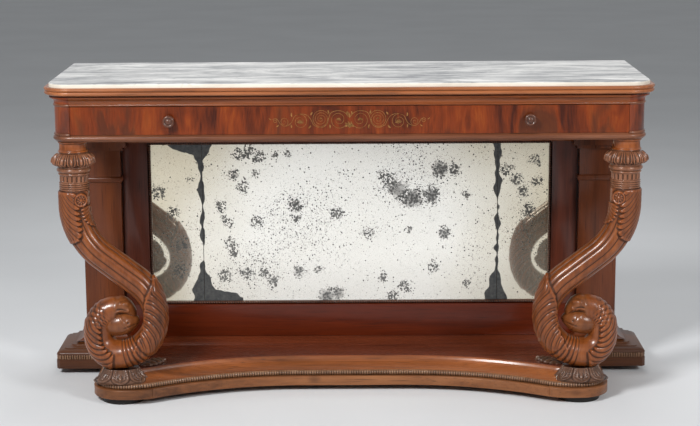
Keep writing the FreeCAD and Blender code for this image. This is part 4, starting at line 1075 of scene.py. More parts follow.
# %% [markdown]
# The carving follows the scroll from top to foot: an acanthus leaf with a rosette at the shoulder,
# reeds on the slope, a pointed leaf round the curl, bands underneath and feathers up the neck.
# Each is placed by its distance along the path, in metres, and its height is in millimetres.
# Where two meet, one is faded out under the other, so no edge floats.

# %% Scroll relief
INNER, OUTER = QUARTER, -QUARTER


def crown_rise(distance, angle):
    """The dome of the head: a smooth swelling outwards where the neck passes into the skull."""
    return 8 * MM * np.clip(np.sin(angle), 0, 1) ** 1.5 * np.exp(-((distance - SCROLL_LENGTH) / 0.038) ** 2)


def scroll_relief(distance, angle):
    """Carving on the scroll, in metres, by distance below the rings and angle from the front."""
    near = np.where(np.cos(angle) >= 0, angle, np.pi - angle)
    reed_zone = ease((distance - 0.05) / 0.06) * ease((0.43 - distance) / 0.05)
    reeds = 4.2 * reed_zone * (np.abs(np.sin(5 * near + 0.55)) ** 0.5 - 1)
    widths = (116, 118, 119, 120, 120, 119, 118, 115, 106, 86)
    shoulder = leaf(distance, angle, (-0.02, 0.129), OUTER, widths, 0.13, 0.0165, 1.6, 2.6, 3.4, scallop=0.14)
    inner = leaf(distance, angle, (0.03, 0.115), INNER, (58, 60, 56, 44, 8), 0.03, 0.012, 1.2, 1.8, 1.6)
    wing = leaf(distance, angle, (0.575, 0.345), INNER, (100, 128, 144, 152, 150, 136, 104, 4),
                0.085, 0.027, 2.0, 3.6, 0.8, scallop=0.05, border=4.0, fine=2.4)
    feathers = leaf(distance, angle, (0.775, 0.632), INNER, (110, 115, 118, 118, 118, 117, 112),
                    0.07, 0.0172, 1.0, 4.6, 2.6, scallop=0.1, even=0.4)
    bands = ease((distance - 0.535) / 0.012) * ease((0.606 - distance) / 0.008)
    rings = bands * (np.abs(np.sin(np.pi * (distance - 0.535) / 0.0132)) ** 0.5 - 1) * 3.2
    plumes = ease((distance - 0.735) / 0.03) * ease((0.803 - distance) / 0.02)
    crossed = np.sin(distance * 300 + 4 * angle) * np.sin(distance * 300 - 4 * angle)
    scales = plumes * 2.2 * np.abs(crossed) ** 0.5
    flower = rosette(distance, near, 0.012, 0.56, 0.0195, 0.043)
    leaves = np.maximum(shoulder, inner) * (1 - ease(flower * 2))
    reeds = reeds * (1 - ease(np.maximum(leaves, wing)))
    full = 9.0 * np.clip(-np.sin(angle), 0, 1) ** 2 * np.exp(-((distance - 0.70) / 0.055) ** 2)
    relief = reeds + leaves + wing * (1 - 0.5 * bands) + feathers * (1 - 0.8 * plumes) + rings + scales + full
    relief = relief + 3.6 * flower
    ends = ease((distance + RING_RISE) / 0.006) * ease((SCROLL_LENGTH - RING_RISE - distance) / 0.01)
    return relief * ends * MM + crown_rise(distance + RING_RISE, angle)


print("relief on the front of the slope: %.1f mm" % (scroll_relief(np.array(0.2), np.array(0.0)) / MM))

# %% [markdown]
# The scroll is one skin from the bell to the neck, so that no joint shows in the carving.
# Its lowest points are pressed flat, because that is where it sits on its boss.

# %% Carved scroll
CARVED_SHARP = math.radians(80)


def scroll():
    """The whole scroll as one skin, pressed flat where it sits on its boss."""
    distance, angle = turn_grid(440, 208, 0.0, SCROLL_LENGTH, -np.pi)
    relief = scroll_relief(distance - RING_RISE, angle)
    centre, heading, size, _ = follow(distance, *SCROLL_START, SCROLL_STEPS, SCROLL_UNIT)
    points = oval_skin(centre, heading, size, angle, relief)
    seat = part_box("right_scroll_leg")[0].z
    points[..., 2] = np.maximum(points[..., 2], seat)
    return tube(points, hollows(relief))


make_pair("carved_scroll", [scroll()], carved_wood, ["scroll_leg"], sharp=CARVED_SHARP)

# %% [markdown]
# ## The bird heads
# The neck ends in a round bird's head that looks inwards, its heavy bill tucked down against the curl.
# The skull carries on along the neck's path with a fuller oval; brow and eye are hills and hollows
# placed by how far along the head and how far from the crown they lie.
# Cheek and bill are one large egg below it, so the line between them is simply where two surfaces meet.

# %% Hills and ridges
def smooth_through(share, places, values):
    """A smooth curve through given values, with slopes taken from their neighbours."""
    places = np.array(places)
    index = np.clip(np.searchsorted(places, share, side="right") - 1, 0, len(places) - 2)
    values = np.array(values)
    slope = np.gradient(values, places)
    gap = places[index + 1] - places[index]
    part = (share - places[index]) / gap
    start = 2 * part**3 - 3 * part**2 + 1
    level = start * values[index] + (1 - start) * values[index + 1]
    lean = (part**3 - 2 * part**2 + part) * slope[index] + (part**3 - part**2) * slope[index + 1]
    return level + gap * lean


def hill(share, crown, at_share, at_crown, long, wide):
    """A smooth hill of height 1 on the head, by share along and angle from the crown."""
    over = (crown - math.radians(at_crown)) / math.radians(wide)
    return np.exp(-((share - at_share) / long) ** 2 - over**2)


def ridge(share, crown, start, end, first, last, wide):
    """A ridge of height 1 along a line: crown angles at two shares, fading at both ends."""
    line = math.radians(first) + math.radians(last - first) * (share - start) / (end - start)
    fade = ease((share - start) / 0.2 + 0.5) * ease((end - share) / 0.1 + 0.5)
    return fade * np.exp(-((crown - line) / math.radians(wide)) ** 2)


print("a hill's height one width from its top: %.2f" % hill(0.1, 0.0, 0.0, 0.0, 0.1, 1.0))

# %% [markdown]
# The skull's oval swells behind the eye and shrinks towards the bill.
# Its sizes are set at a few places and joined by a smooth curve, as a carver would measure with
# callipers.

# %% Skull
HEAD_TURN = math.radians(-60)
HEAD_BEND = 0.122
HEAD_LENGTH = HEAD_BEND * SCROLL_UNIT * abs(HEAD_TURN)
HEAD_SHARES = (0.0, 0.04, 0.22, 0.44, 0.64, 0.84, 1.0)
HEAD_THICK = (0.0779, 0.0782, 0.0900, 0.0840, 0.0690, 0.0480, 0.0150)
HEAD_DEEP = (0.0758, 0.0760, 0.0800, 0.0770, 0.0640, 0.0420, 0.0130)


def skull_relief(share, angle):
    """Brow and eye in metres, and the cut under which the bill begins."""
    crown = around(angle, INNER)
    brow = 4.2 * ridge(share, crown, 0.12, 0.46, 56, 32, 9)
    slit = -3.4 * ridge(share, crown, 0.12, 0.52, 70, 60, 5)
    eye = 3.4 * hill(share, crown, 0.32, 54, 0.13, 10)
    corner = 2.8 * hill(share, crown, 0.55, 56, 0.05, 7)
    under = -15.0 * ease((crown - math.radians(82) + math.radians(46) * share) / 0.3) * ease(share / 0.32)
    relief = ease(share / 0.2) * (brow + slit + eye + corner) + under
    return relief * MM + crown_rise(SCROLL_LENGTH + share * HEAD_LENGTH, angle)


def skull():
    """The upper head from the neck to the root of the bill."""
    share, angle = turn_grid(150, 180, start=-np.pi)
    neck = follow(np.full(1, SCROLL_LENGTH), *SCROLL_START, SCROLL_STEPS, SCROLL_UNIT)
    steps = ((HEAD_BEND, HEAD_TURN, 0.0, 0.0),)
    centre, heading, _, _ = follow(share * HEAD_LENGTH, neck[0][0], 0.0, np.zeros(2), steps, SCROLL_UNIT)
    size = np.stack([smooth_through(share, HEAD_SHARES, HEAD_THICK),
                     smooth_through(share, HEAD_SHARES, HEAD_DEEP)], axis=-1) * SCROLL_UNIT
    relief = skull_relief(share, angle)
    return tube(oval_skin(centre, heading, size, angle, relief), hollows(relief, 3))


print("head %.3f m long from neck to bill" % HEAD_LENGTH)

# %% [markdown]
# The bill is an egg that lies across the curl: long, a little flat, and hooked where its tip turns
# down.
# A parting line runs along it, a nostril is pressed in and a low band marks the root.
# An egg made of two angles closes at both its poles by itself.

# %% Bill
BILL_CENTRE = (0.252, -0.802)
BILL_HALF = (0.122, 0.077, 0.086)
BILL_TILT = math.radians(13)
POLE = 0.03


def bill():
    """Cheek and bill: an egg with a parting line, a nostril and a hooked end."""
    turn, angle = turn_grid(110, 140, POLE, np.pi - POLE, -np.pi)
    long, tall, deep = (half * SCROLL_UNIT for half in BILL_HALF)
    forward = -np.cos(turn)
    height = np.sin(turn) * np.sin(angle)
    front = np.abs(np.sin(turn) * np.cos(angle))
    hook = ease((forward - 0.35) / 0.65)
    parting = np.exp(-((height + 0.3) / 0.06) ** 2) * ease((forward - 0.05) / 0.3)
    nostril = np.exp(-((forward - 0.48) / 0.05) ** 2 - ((height - 0.05) / 0.08) ** 2) * (front > 0.2)
    cere = np.exp(-((forward - 0.3 + 0.25 * height) / 0.04) ** 2)
    relief = (-1.5 * parting - 2.2 * nostril + 1.3 * cere) * MM
    along = (long + relief) * forward
    up = (tall + relief) * height * (1 - 0.25 * hook) - 0.04 * tall * hook
    ahead = (deep + relief) * np.sin(turn) * np.cos(angle) * (1 - 0.35 * hook)
    tilt_in, tilt_up = math.cos(BILL_TILT), math.sin(BILL_TILT)
    inward = BILL_CENTRE[0] * SCROLL_UNIT + along * tilt_in - up * tilt_up
    level = SCROLL_TOP + BILL_CENTRE[1] * SCROLL_UNIT + along * tilt_up + up * tilt_in
    return tube(np.stack([AXIS_X - inward, AXIS_Y - ahead, level], axis=-1), hollows(relief, 3))


head_wood = carved_finish("head_wood", tones(109, 60, 28))
make_pair("carved_head", [skull(), bill()], head_wood, ["bird_head"], sharp=CARVED_SHARP)

# %% [markdown]
# ## Leaf bosses under the scrolls
# Where a scroll meets the platform it sits on a boss of overlapping leaves that spills over the moulded
# edge.
# It is a flared oval: the radius grows as the height falls, leaves divide it round, and veins fan out
# in each leaf.

# %% Boss
boss_low, boss_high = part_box("right_leaf_boss")
BOSS_X = (boss_low.x + boss_high.x) / 2
BOSS_LEAVES = 7


def boss():
    """A hollow-sided flare of leaves: each is a bud in two nested tongues, with a deep gap to the next."""
    share, angle = turn_grid(110, BOSS_LEAVES * 52)
    level = boss_high.z - share * (boss_high.z - boss_low.z)
    flare = 0.35 * share + 0.65 * share**2.4
    half_x = (50 + 34 * flare) * MM
    half_y = (38 + 23 * flare) * MM
    across = 2 * np.abs((BOSS_LEAVES * angle / (2 * np.pi) + 0.5) % 1 - 0.5)
    out = np.hypot(across / 0.94, np.clip(share - 0.5, 0, 1) / 0.46)
    bud = 4.0 * np.clip(1 - (across / 0.2) ** 2 - ((share - 0.56) / 0.26) ** 2, 0, 1)
    tongues = 2.6 * (np.exp(-((out - 0.46) / 0.08) ** 2) + np.exp(-((out - 0.86) / 0.09) ** 2))
    between = ease((out - 0.5) / 0.1) * ease((0.84 - out) / 0.1)
    veins = 1.4 * np.abs(np.sin(np.pi * (share * 7 + across * 2.5))) * between
    gap = -5.0 * ease((out - 0.97) / 0.2)
    relief = (bud + tongues + veins + gap) * MM * ease(share / 0.08) * ease((1 - share) / 0.03)
    x = BOSS_X + (half_x + relief) * np.sin(angle)
    y = AXIS_Y - (half_y + relief) * np.cos(angle)
    return tube(np.stack([x, y, level], axis=-1), hollows(relief, 3))


print("boss %.0f mm high in %d leaves" % ((boss_high.z - boss_low.z) / MM, BOSS_LEAVES))

# %% [markdown]
# From each boss a small leaf trails inwards over the platform.
# It is an arched ridge along a line, with lobes at its edges, and its underside lies flat just below
# the board.

# %% Trailing leaf
TRAIL_ROOT = (0.62, -0.155)
TRAIL_TIP = (0.548, -0.096)
TRAIL_LOBES = 5
TRAIL_HALF = 30 * MM
TRAIL_HEIGHT = 14 * MM
TRAIL_RIB = 2 * MM
TRAIL_SINK = 1 * MM


def trailing_leaf():
    """A low leaf lying on the platform behind the boss: an arched ridge with lobed edges, flat underneath."""
    share, turn = turn_grid(60, 64, 0.01, 0.99)
    root, tip = np.array(TRAIL_ROOT), np.array(TRAIL_TIP)
    ahead = (tip - root) / np.linalg.norm(tip - root)
    across = np.cos(turn)
    lobe = np.abs(np.sin(np.pi * TRAIL_LOBES * (share - 0.12 * np.abs(across))))
    half = TRAIL_HALF * np.sin(np.pi * share ** 0.8) ** 0.7 * (0.72 + 0.28 * lobe)
    arch = np.clip(np.sin(turn), 0, 1) ** 0.6
    back = TRAIL_HEIGHT * np.sin(np.pi * share) ** 0.5 * (0.75 + 0.25 * lobe)
    rise = arch * (back + TRAIL_RIB * np.exp(-(across / 0.1) ** 2))
    sideways = np.array([-ahead[1], ahead[0]])
    place = root + share[..., None] * (tip - root) + (across * half)[..., None] * sideways
    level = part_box("base_board")[1].z - TRAIL_SINK + rise
    return tube(np.concatenate([place, level[..., None]], axis=-1), hollows(rise, 3))


boss_wood = carved_finish("boss_wood", tones(92, 62, 45))
make_pair("carved_boss", [boss(), trailing_leaf()], boss_wood, ["leaf_boss"])

# %% [markdown]
# ## Ribbed mouldings
# A fine rib runs round the platform's edge, the plinth blocks and the mirror.
# It is a small rounded strip with a wave cut across it, so it is a profile carried along a path, with
# the profile shrinking and swelling once per rib.

# %% Ribbed strips
RIB_PITCH = 7.4 * MM
RIB_SAMPLES = 6
RIB_CUT = 2.6 * MM
UP = np.array([0, 0, 1.0])


def ribbed_strip(path, outward, up, depth, height):
    """A half-round strip along path points: outward and up are unit directions at each point."""
    step = np.linalg.norm(np.diff(path, axis=0), axis=1)
    distance = np.concatenate([[0], np.cumsum(step)])
    wave = (0.5 + 0.5 * np.cos(2 * np.pi * distance / RIB_PITCH)) ** 1.5
    turn = np.linspace(0, np.pi, 9)
    proud = (depth - RIB_CUT * wave)[:, None] * np.sin(turn)
    rise = np.broadcast_to(height * (0.5 - 0.5 * np.cos(turn)), proud.shape)
    points = path[:, None, :] + outward[:, None, :] * proud[..., None] + up * rise[..., None]
    # Wear and painted shade: the gaps between ribs read as hollow and darken, the rib tops read as proud and
    # lighten.
    wear_and_shade = -wave[:, None] * np.sin(turn)
    return tube(points, np.clip(1.8 * wear_and_shade + 0.6, -1, 1))


def straight(start, end):
    """Points along a straight run, a few to a rib."""
    start, end = np.array(start), np.array(end)
    count = int(np.linalg.norm(end - start) / RIB_PITCH * RIB_SAMPLES) + 2
    return start + np.linspace(0, 1, count)[:, None] * (end - start)


def straight_strip(start, end, outward, up, depth, height):
    """A ribbed strip along a straight run, facing one way."""
    path = straight(start, end)
    return ribbed_strip(path, np.broadcast_to(outward, path.shape), up, depth, height)


print("ribs on a metre of strip:", round(1 / RIB_PITCH))

# %% [markdown]
# The platform's front is hollowed between two round feet, and its ribs follow it without a break.
# The outline is drawn as on a workbench, with a rule and compasses: a straight middle, a hollow arc,
# the nose of a foot, a round corner and a straight side.
# Drawing every arc with the same inset keeps the strip at one distance from the edge.

# %% Edge of the platform
foot_low, foot_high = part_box("right_foot_block")
fascia_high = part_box("front_fascia")[1]
bead_low, bead_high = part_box("ribbed_bead")
FASCIA_THICKNESS = 30 * MM
HOLLOW_FLAT = 150 * MM
FOOT_CORNER = 90 * MM
FOOT_NOSE = 150 * MM
NOSE_X = BOSS_X - 25 * MM
HOLLOW_Y = fascia_high.y - FASCIA_THICKNESS


def arc_points(centre, radius, start, end):
    """Points on an arc in plan, angles from -Y towards +X."""
    count = max(int(abs(end - start) * radius / RIB_PITCH * RIB_SAMPLES), 2)
    angle = np.linspace(start, end, count)
    return np.stack([centre[0] + radius * np.sin(angle), centre[1] - radius * np.cos(angle)], axis=-1)


def platform_edge(inset):
    """The right half of the platform's outline drawn in by an inset, from the middle to the back."""
    run = NOSE_X - HOLLOW_FLAT
    rise = foot_low.y + FOOT_NOSE - HOLLOW_Y
    big = (run**2 + rise**2 - FOOT_NOSE**2) / (2 * (FOOT_NOSE - rise))
    hollow = (HOLLOW_FLAT, HOLLOW_Y - big)
    nose = (NOSE_X, foot_low.y + FOOT_NOSE)
    turn = math.atan2(nose[0] - hollow[0], nose[1] - hollow[1])
    corner = (foot_high.x - FOOT_CORNER, foot_low.y + FOOT_CORNER)
    flat = straight((0, HOLLOW_Y + inset), (HOLLOW_FLAT, HOLLOW_Y + inset))
    bend = arc_points(hollow, big + inset, np.pi, np.pi - turn)
    tip = arc_points(nose, FOOT_NOSE - inset, -turn, 0)
    toe = straight((NOSE_X, foot_low.y + inset), (corner[0], foot_low.y + inset))
    round_corner = arc_points(corner, FOOT_CORNER - inset, 0, QUARTER)
    side = straight((foot_high.x - inset, corner[1]), (foot_high.x - inset, foot_high.y))
    return np.vstack([flat[:-1], bend[:-1], tip[:-1], toe[:-1], round_corner[:-1], side])


print("outline from the middle to the back: %d points" % len(platform_edge(0.0)))

# %% [markdown]
# The strip runs along one half of the outline and back along its mirror image, as one piece.
# It faces square to the path everywhere, so the direction comes from the path's own slope.

# %% Ribs round the platform
STRIP_INSET = 18 * MM
STRIP_DEPTH = 10 * MM


def platform_ribs():
    """One strip from the back left, round both feet and the hollow, to the back right."""
    inner = platform_edge(STRIP_INSET)
    half = np.column_stack([inner, np.full(len(inner), bead_low.z)])
    path = np.vstack([(half * [-1, 1, 1])[:0:-1], half])
    ahead = np.gradient(path, axis=0)
    outward = np.column_stack([ahead[:, 1], -ahead[:, 0], 0 * ahead[:, 0]])
    outward /= np.linalg.norm(outward, axis=1)[:, None]
    return ribbed_strip(path, outward, UP, STRIP_DEPTH, bead_high.z - bead_low.z)


rib_wood = carved_finish("rib_wood", tones(124, 90, 66))
make_piece("platform_ribs", [platform_ribs()], "carcass", rib_wood, ["ribbed_bead"])

# %% [markdown]
# ## Plinth blocks
# The outer ends of the plinth are moulded blocks: a flat band, a ribbed bead, a convex curve and two
# hollows.
# A moulding is a profile of inset and height; here each point of the profile is an outline round the
# block, its front corner cut off at a slant.

# %% Moulded plinth blocks
block_low, block_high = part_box("right_plinth_block")
OVOLO = (22 * MM, 14 * MM)
COVES = ((20 * MM, 5 * MM), (16 * MM, 5 * MM))
FILLET = 2 * MM
CANT = 9 * MM
RIB_LEDGE = 2 * MM


def block_profile():
    """Insets and heights from the foot up: band, bead, a quarter ellipse, then fillets and hollows."""
    turn = np.linspace(0, QUARTER, 12)
    rows = [[0, block_low.z], [0, bead_low.z], [RIB_LEDGE, bead_low.z], [RIB_LEDGE, bead_high.z]]
    rows += np.stack([OVOLO[0] * (1 - np.cos(turn)), bead_high.z + OVOLO[1] * np.sin(turn)], axis=-1).tolist()
    for deep, tall in COVES:
        inset, level = rows[-1][0], rows[-1][1] + FILLET
        rows += np.stack([inset + deep * np.sin(turn), level + tall * (1 - np.cos(turn))], axis=-1).tolist()
    rows.append([rows[-1][0], rows[-1][1] + FILLET])
    return np.array(rows)


def moulded_block():
    """One outline with a canted corner for each point of the profile, from front to back."""
    inset, level = block_profile().T
    right, front = block_high.x - inset, block_low.y + inset
    left, back = block_low.x + 0 * inset, block_high.y + 0 * inset
    corners = ((left, front), (right - CANT, front), (right, front + CANT), (right, back), (left, back))
    return tube(np.stack([np.stack([x, y, level], axis=-1) for x, y in corners], axis=1))


MITRE_SHARP = math.radians(30)
make_pair("moulded_block", [moulded_block()], plinth_wood, ["plinth_block"], sharp=MITRE_SHARP)

# %% [markdown]
# The ribs on a plinth block turn its corner in three straight runs: front, slant and side.
# Each run faces square to its own line, so a quarter turn of its direction is enough.

# %% Ribs on the plinth
RIB_MARGIN = 1 * MM


def plinth_ribs():
    """Strips on the block's bead band: along the front, across the canted corner and along the side."""
    x, y, level = block_high.x - RIB_LEDGE, block_low.y + RIB_LEDGE, bead_low.z + RIB_MARGIN / 2
    left, back = block_low.x + RIB_MARGIN, block_high.y - RIB_MARGIN
    turns = [(left, y, level), (x - CANT, y, level), (x, y + CANT, level), (x, back, level)]
    height = bead_high.z - bead_low.z - RIB_MARGIN
    strips = []
    for start, end in zip(turns[:-1], turns[1:]):
        ahead = np.subtract(end, start) / np.linalg.norm(np.subtract(end, start))
        strips.append(straight_strip(start, end, [ahead[1], -ahead[0], 0], UP, RIB_LEDGE, height))
    return strips


make_pair("plinth_ribs", plinth_ribs(), rib_wood, [])

# %% [markdown]
# Slips with the same ribs hold the three mirror plates in their frame.
# Two run level and two upright between them, so each is one straight strip that faces the front.

# %% Ribs round the mirror
SLIP_WIDTH = 9 * MM
SIDEWAYS = np.array([1.0, 0, 0])
FRONT = np.array([0, -1.0, 0])


def mirror_ribs():
    """Four ribbed slips; the level pair runs through and the upright pair stands between them."""
    y, bottom, top = slip_high.y, slip_low.z, slip_high.z - SLIP_WIDTH
    runs = [((slip_low.x, y, z), (slip_high.x, y, z), UP) for z in (bottom, top)]
    for x in (slip_low.x, slip_high.x - SLIP_WIDTH):
        runs.append(((x, y, bottom + SLIP_WIDTH), (x, y, top), SIDEWAYS))
    depth = slip_high.y - slip_low.y
    return [straight_strip(start, end, FRONT, across, depth, SLIP_WIDTH) for start, end, across in runs]


slip_wood = carved_finish("slip_wood", tones(78, 48, 35))
make_piece("mirror_ribs", mirror_ribs(), "carcass", slip_wood, ["mirror_slips"])

# %% [markdown]
# ## Knobs
# The two knobs are turned in one piece: a rose against the drawer, a neck, and a face with a sunk ring
# round a button.
# A profile of radius and reach, spun about the knob's own axis, gives all of it.

# %% Turned knobs
drawer_face = face_low.y
KNOB_PROFILE = (
    (0.0, 0.0), (14.0, 0.0), (15.0, 1.2), (14.6, 3.2), (12.0, 4.2), (9.0, 5.2), (8.0, 8.0), (9.2, 12.0),
    (13.4, 14.6), (16.4, 17.0), (17.0, 19.4), (16.2, 21.8), (14.2, 23.4), (12.4, 23.6), (11.2, 22.4),
    (9.6, 21.8), (8.2, 22.6), (6.6, 24.4), (4.0, 25.6), (1.0, 26.0),
)


def knob(node_name):
    """The profile, smoothed and spun about the axis that runs to the front."""
    low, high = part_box(node_name)
    profile = np.array(KNOB_PROFILE) * MM
    length = np.concatenate([[0], np.cumsum(np.linalg.norm(np.diff(profile, axis=0), axis=1))])
    fine = np.linspace(0, length[-1], 120)
    radius = np.interp(fine, length, profile[:, 0])
    reach = np.interp(fine, length, profile[:, 1])
    blur = np.ones(5) / 5
    radius[2:-2] = np.convolve(radius, blur, "valid")
    reach[2:-2] = np.convolve(reach, blur, "valid")
    angle = np.linspace(0, 2 * np.pi, 72, endpoint=False)
    x = (low.x + high.x) / 2 + radius[:, None] * np.cos(angle)
    z = (low.z + high.z) / 2 + radius[:, None] * np.sin(angle)
    y = np.broadcast_to((drawer_face - reach)[:, None], x.shape)
    wear_and_shade = np.broadcast_to(hollows(reach[:, None], 6), x.shape)
    return tube(np.stack([x, y, z], axis=-1), wear_and_shade)


knob_wood = carved_finish("knob_wood", tones(84, 50, 36))
for side in ("left", "right"):
    make_piece(side + "_turned_knob", [knob(side + "_knob")], "drawer", knob_wood,
               [side + "_knob"])

# %% [markdown]
# ## Brass inlay
# A running scroll of thin brass is let into the veneer: spirals that grow smaller outwards, joined by a
# stem, with small leaves where they part and a little palmette in the middle.
# A spiral's radius falls as its angle grows; each line is a narrow flat strip carried along that curve.

# %% Flat strip
INLAY_Z = (face_low.z + face_high.z) / 2 - 0.5 * MM
INLAY_PROUD = 0.4 * MM
INLAY_SINK = 0.6 * MM
LINE = 1.1 * MM
SPREAD = 0.97


def flat_strip(x, z, width):
    """A flat strip along a curve on the drawer face: a narrow box section, thinning with its width."""
    x = SPREAD * x
    ahead_x, ahead_z = np.gradient(x), np.gradient(z)
    size = np.hypot(ahead_x, ahead_z) + 1e-9
    side_x, side_z = -ahead_z / size * width / 2, ahead_x / size * width / 2
    front, back = drawer_face - INLAY_PROUD, drawer_face + INLAY_SINK
    corners = ((1, front), (-1, front), (-1, back), (1, back))
    ring = [np.stack([x + k * side_x, np.full_like(x, y), z + k * side_z], axis=-1) for k, y in corners]
    return tube(np.stack(ring, axis=1))


print("inlay at %.3f m, its lines %.1f mm wide" % (INLAY_Z, LINE / MM))

# %% [markdown]
# Three kinds of line make the pattern: a spiral that winds in to its eye, a small pointed leaf, and a
# stem through listed places.
# Each only works out a curve and a width, and the flat strip does the rest.

# %% Spirals, leaves and stems
SPIRALS = (
    (31, 1.5, 24.0, 1.75, 205, 1),
    (83, 3.5, 23.5, 3.1, 150, -1),
    (143, -3.5, 20.0, 1.9, 60, 1),
    (190, -4.0, 12.0, 1.6, -110, -1),
    (216, -1.0, 6.0, 1.4, 100, 1),
)


def spiral(x, z, radius, turns, start, way):
    """A spiral strip winding in to a small eye, finest at its end."""
    part = np.linspace(0, 1, int(90 * turns))
    angle = math.radians(start) + way * part * turns * 2 * np.pi
    reach = radius * (1 - part) ** 0.8 + 0.07 * radius
    width = LINE * (1.1 - 0.5 * part)
    x, z = x + reach * np.cos(angle), z + reach * np.sin(angle)
    return flat_strip(x * MM, INLAY_Z + z * MM, width)


def petal(x, z, heading, length, wide):
    """A small pointed leaf that bends a little about its heading."""
    part = np.linspace(0.02, 0.98, 14)
    bend = math.radians(heading) + 0.5 * (part - 0.5)
    width = wide * np.sin(np.pi * part) ** 0.8 * MM
    x, z = x + length * part * np.cos(bend), z + length * part * np.sin(bend)
    return flat_strip(x * MM, INLAY_Z + z * MM, width)


def stem(points):
    """A strip through given places, smooth between them."""
    places = np.linspace(0, 1, len(points))
    part = np.linspace(0, 1, 26 * len(points))
    x, z = (smooth_through(part, places, [point[k] for point in points]) for k in (0, 1))
    return flat_strip(x * MM, INLAY_Z + z * MM, LINE * 1.15 + 0 * x)


print("spirals on each half:", len(SPIRALS))

# %% [markdown]
# Stems join the spirals, leaves fill the gaps where they part, and small fans of leaves stand on three
# of them.
# All of it is placed in millimetres from the middle of the drawer; one half is drawn and then
# mirrored.

# %% Brass scrollwork
STEMS = (
    ((3, 10), (14, 22), (32, 27), (52, 22), (60, 6), (66, -12), (84, -21), (104, -14)),
    ((104, -14), (112, 2), (122, 14), (140, 18), (158, 12), (168, -6), (180, -15), (192, -16)),
    ((192, -16), (202, -8), (208, 2), (216, 6), (222, 2)),
)
SPRAYS = (
    (58, 18, 60, 12, 4), (58, -12, 250, 12, 4), (112, 14, 110, 11, 4), (112, -14, 300, 12, 4),
    (166, 10, 70, 12, 4), (170, -12, 250, 10, 3.6), (205, -12, 310, 10, 3.2), (226, 2, 20, 9, 3),
    (6, 14, 80, 12, 4), (5, -10, 300, 12, 4),
)
FANS = ((31, 0, 7, 7.5), (143, -8, 7, 11), (83, 3, 5, 5))
FAN_STEP = 26
PALMETTE = ((0, -22, 62, 20, 5), (0, -22, 90, 20, 5), (0, -22, 118, 20, 5), (0, 6, 90, 18, 5))


def half_inlay():
    """Everything to the right of the middle: spirals, stems, sprays, and fans of leaves at even angles."""
    shells = [spiral(*values) for values in SPIRALS]
    shells += [stem(points) for points in STEMS]
    shells += [petal(*values) for values in SPRAYS]
    for x, z, count, size in FANS:
        shells += [petal(x, z, 90 + (k - (count - 1) / 2) * FAN_STEP, size, 2.0) for k in range(count)]
    return shells


def brass_finish():
    """Thin old brass, brighter on worn patches and brown in between."""
    material, at = start_finish("old_brass")
    tarnish = at.noise(70.0, 4.0, 0.6)
    return end_finish(material, {
        "Base Color": tarnish.ramp((0.3, rgb(122, 84, 46)), (0.7, rgb(176, 132, 80))),
        "Metallic": 0.85 + tarnish * 0.1,
        "Roughness": 0.3 + tarnish * 0.25,
    })


right_half = half_inlay()
scrollwork = right_half + mirrored(right_half) + [petal(*values) for values in PALMETTE]
old_brass = brass_finish()
make_piece("brass_scrollwork", scrollwork, "drawer", old_brass, ["brass_inlay"], sharp=MITRE_SHARP)

# %% [markdown]
# ## Studio
# The table stands on a plain pale floor that runs on far behind it, so no edge of it is seen.
# The floor is stage, not part of the table, and lies a hair under the feet so that the two never share
# a face.

# %% Floor
def floor_finish():
    """Pale paint with the faintest mottling."""
    material, at = start_finish("studio_floor")
    mottle = at.noise(1.5, 2.0)
    return end_finish(material, {
        "Base Color": mottle.ramp((0.3, rgb(224, 226, 228)), (0.7, rgb(230, 232, 234))),
        "Roughness": 0.7,
    })


FLOOR_REACH = 60.0
FLOOR_LEVEL = -0.3 * MM
floor_mesh = bpy.data.meshes.new("floor")
sides = ((-FLOOR_REACH, -FLOOR_REACH), (FLOOR_REACH, -FLOOR_REACH), (FLOOR_REACH, FLOOR_REACH),
         (-FLOOR_REACH, FLOOR_REACH))
floor_mesh.from_pydata([(x, y, FLOOR_LEVEL) for x, y in sides], [], [(0, 1, 2, 3)])
floor = bpy.data.objects.new("floor", floor_mesh)
bpy.context.scene.collection.objects.link(floor)
floor.data.materials.append(floor_finish())

# %% [markdown]
# Two large soft lamps stand in front, the stronger one on the left, and a weak one behind lights the
# edges.
# A lamp could follow a target by a constraint; turning it once by two angles needs nothing that stays
# live.

# %% Lamps
LAMPS = (
    ("key_lamp", (-2.2, -3.4, 3.4), (0, 0, 0.5), 1.1, 200),
    ("fill_lamp", (2.9, -3.2, 2.6), (0, 0, 0.5), 1.1, 90),
    ("top_lamp", (0.3, 1.8, 3.4), (0, 0, 0.8), 1.6, 35),
)


def soft_lamp(name, place, target, size, power):
    """A square lamp aimed at a point."""
    lamp = bpy.data.lights.new(name, "AREA")
    lamp.shape = "SQUARE"
    lamp.size = size
    lamp.energy = power
    holder = bpy.data.objects.new(name, lamp)
    bpy.context.scene.collection.objects.link(holder)
    away = np.array(place) - np.array(target)
    turn = math.atan2(away[0], -away[1])
    tilt = math.atan2(np.hypot(away[0], away[1]), away[2])
    holder.location = place
    holder.rotation_euler = (tilt, 0, turn)


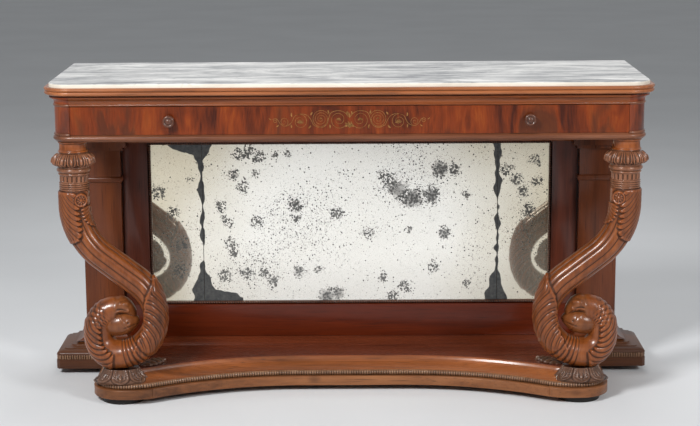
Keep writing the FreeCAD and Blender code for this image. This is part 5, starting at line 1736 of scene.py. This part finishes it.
for lamp_values in LAMPS:
    soft_lamp(*lamp_values)
print("lamps:", len(LAMPS))

# %% [markdown]
# The world fills the shadows with weak light, but looks pale to the camera and in the mirror.
# Light Path tells the two apart, so the backdrop is bright without more light on the table.

# %% World
WORLD_LIGHT = 0.2
WORLD_SEEN = 0.62
world = bpy.data.worlds.new("studio")
world.use_nodes = True
sky = world.node_tree.nodes["Background"]
rays = world.node_tree.nodes.new("ShaderNodeLightPath")
SEEN_BY = ("Is Camera Ray", "Is Glossy Ray", "Is Transmission Ray")
seen = largest(*[Field(world.node_tree, rays.outputs[ray]) for ray in SEEN_BY])
strength = WORLD_LIGHT + seen * (WORLD_SEEN - WORLD_LIGHT)
world.node_tree.links.new(strength.socket, sky.inputs["Strength"])
sky.inputs["Color"].default_value = (0.90, 0.92, 0.94, 1.0)
bpy.context.scene.world = world
bpy.context.scene.view_settings.view_transform = "Standard"
print("world light", WORLD_LIGHT, "and as seen", WORLD_SEEN)

# %% [markdown]
# The camera stands where the photograph was taken.
# Its place came from fitting the table's straight lines to the picture, so it is written as a place, a
# downward pitch and tiny turns; the lens follows from the focal length in pixels.

# %% Camera
CAMERA_PLACE = (0.0073, -5.2611, 1.5586)
CAMERA_PITCH = 0.1961
CAMERA_YAW = 0.0014
CAMERA_ROLL = -0.0053
SENSOR = 36.0
FOCAL_PIXELS = 1800.0
PHOTO_WIDTH = 700.0

view = bpy.data.cameras.new("photo_view")
view.sensor_width = SENSOR
view.lens = SENSOR * FOCAL_PIXELS / PHOTO_WIDTH
camera = bpy.data.objects.new("photo_view", view)
bpy.context.scene.collection.objects.link(camera)
aim = Matrix.Rotation(CAMERA_YAW, 4, "Z") @ Matrix.Rotation(QUARTER - CAMERA_PITCH, 4, "X")
aim = aim @ Matrix.Rotation(CAMERA_ROLL, 4, "Z")
camera.matrix_world = Matrix.Translation(CAMERA_PLACE) @ aim
bpy.context.scene.camera = camera
print("lens %.2f mm" % view.lens)

# %% Update the scene
bpy.context.view_layer.update()
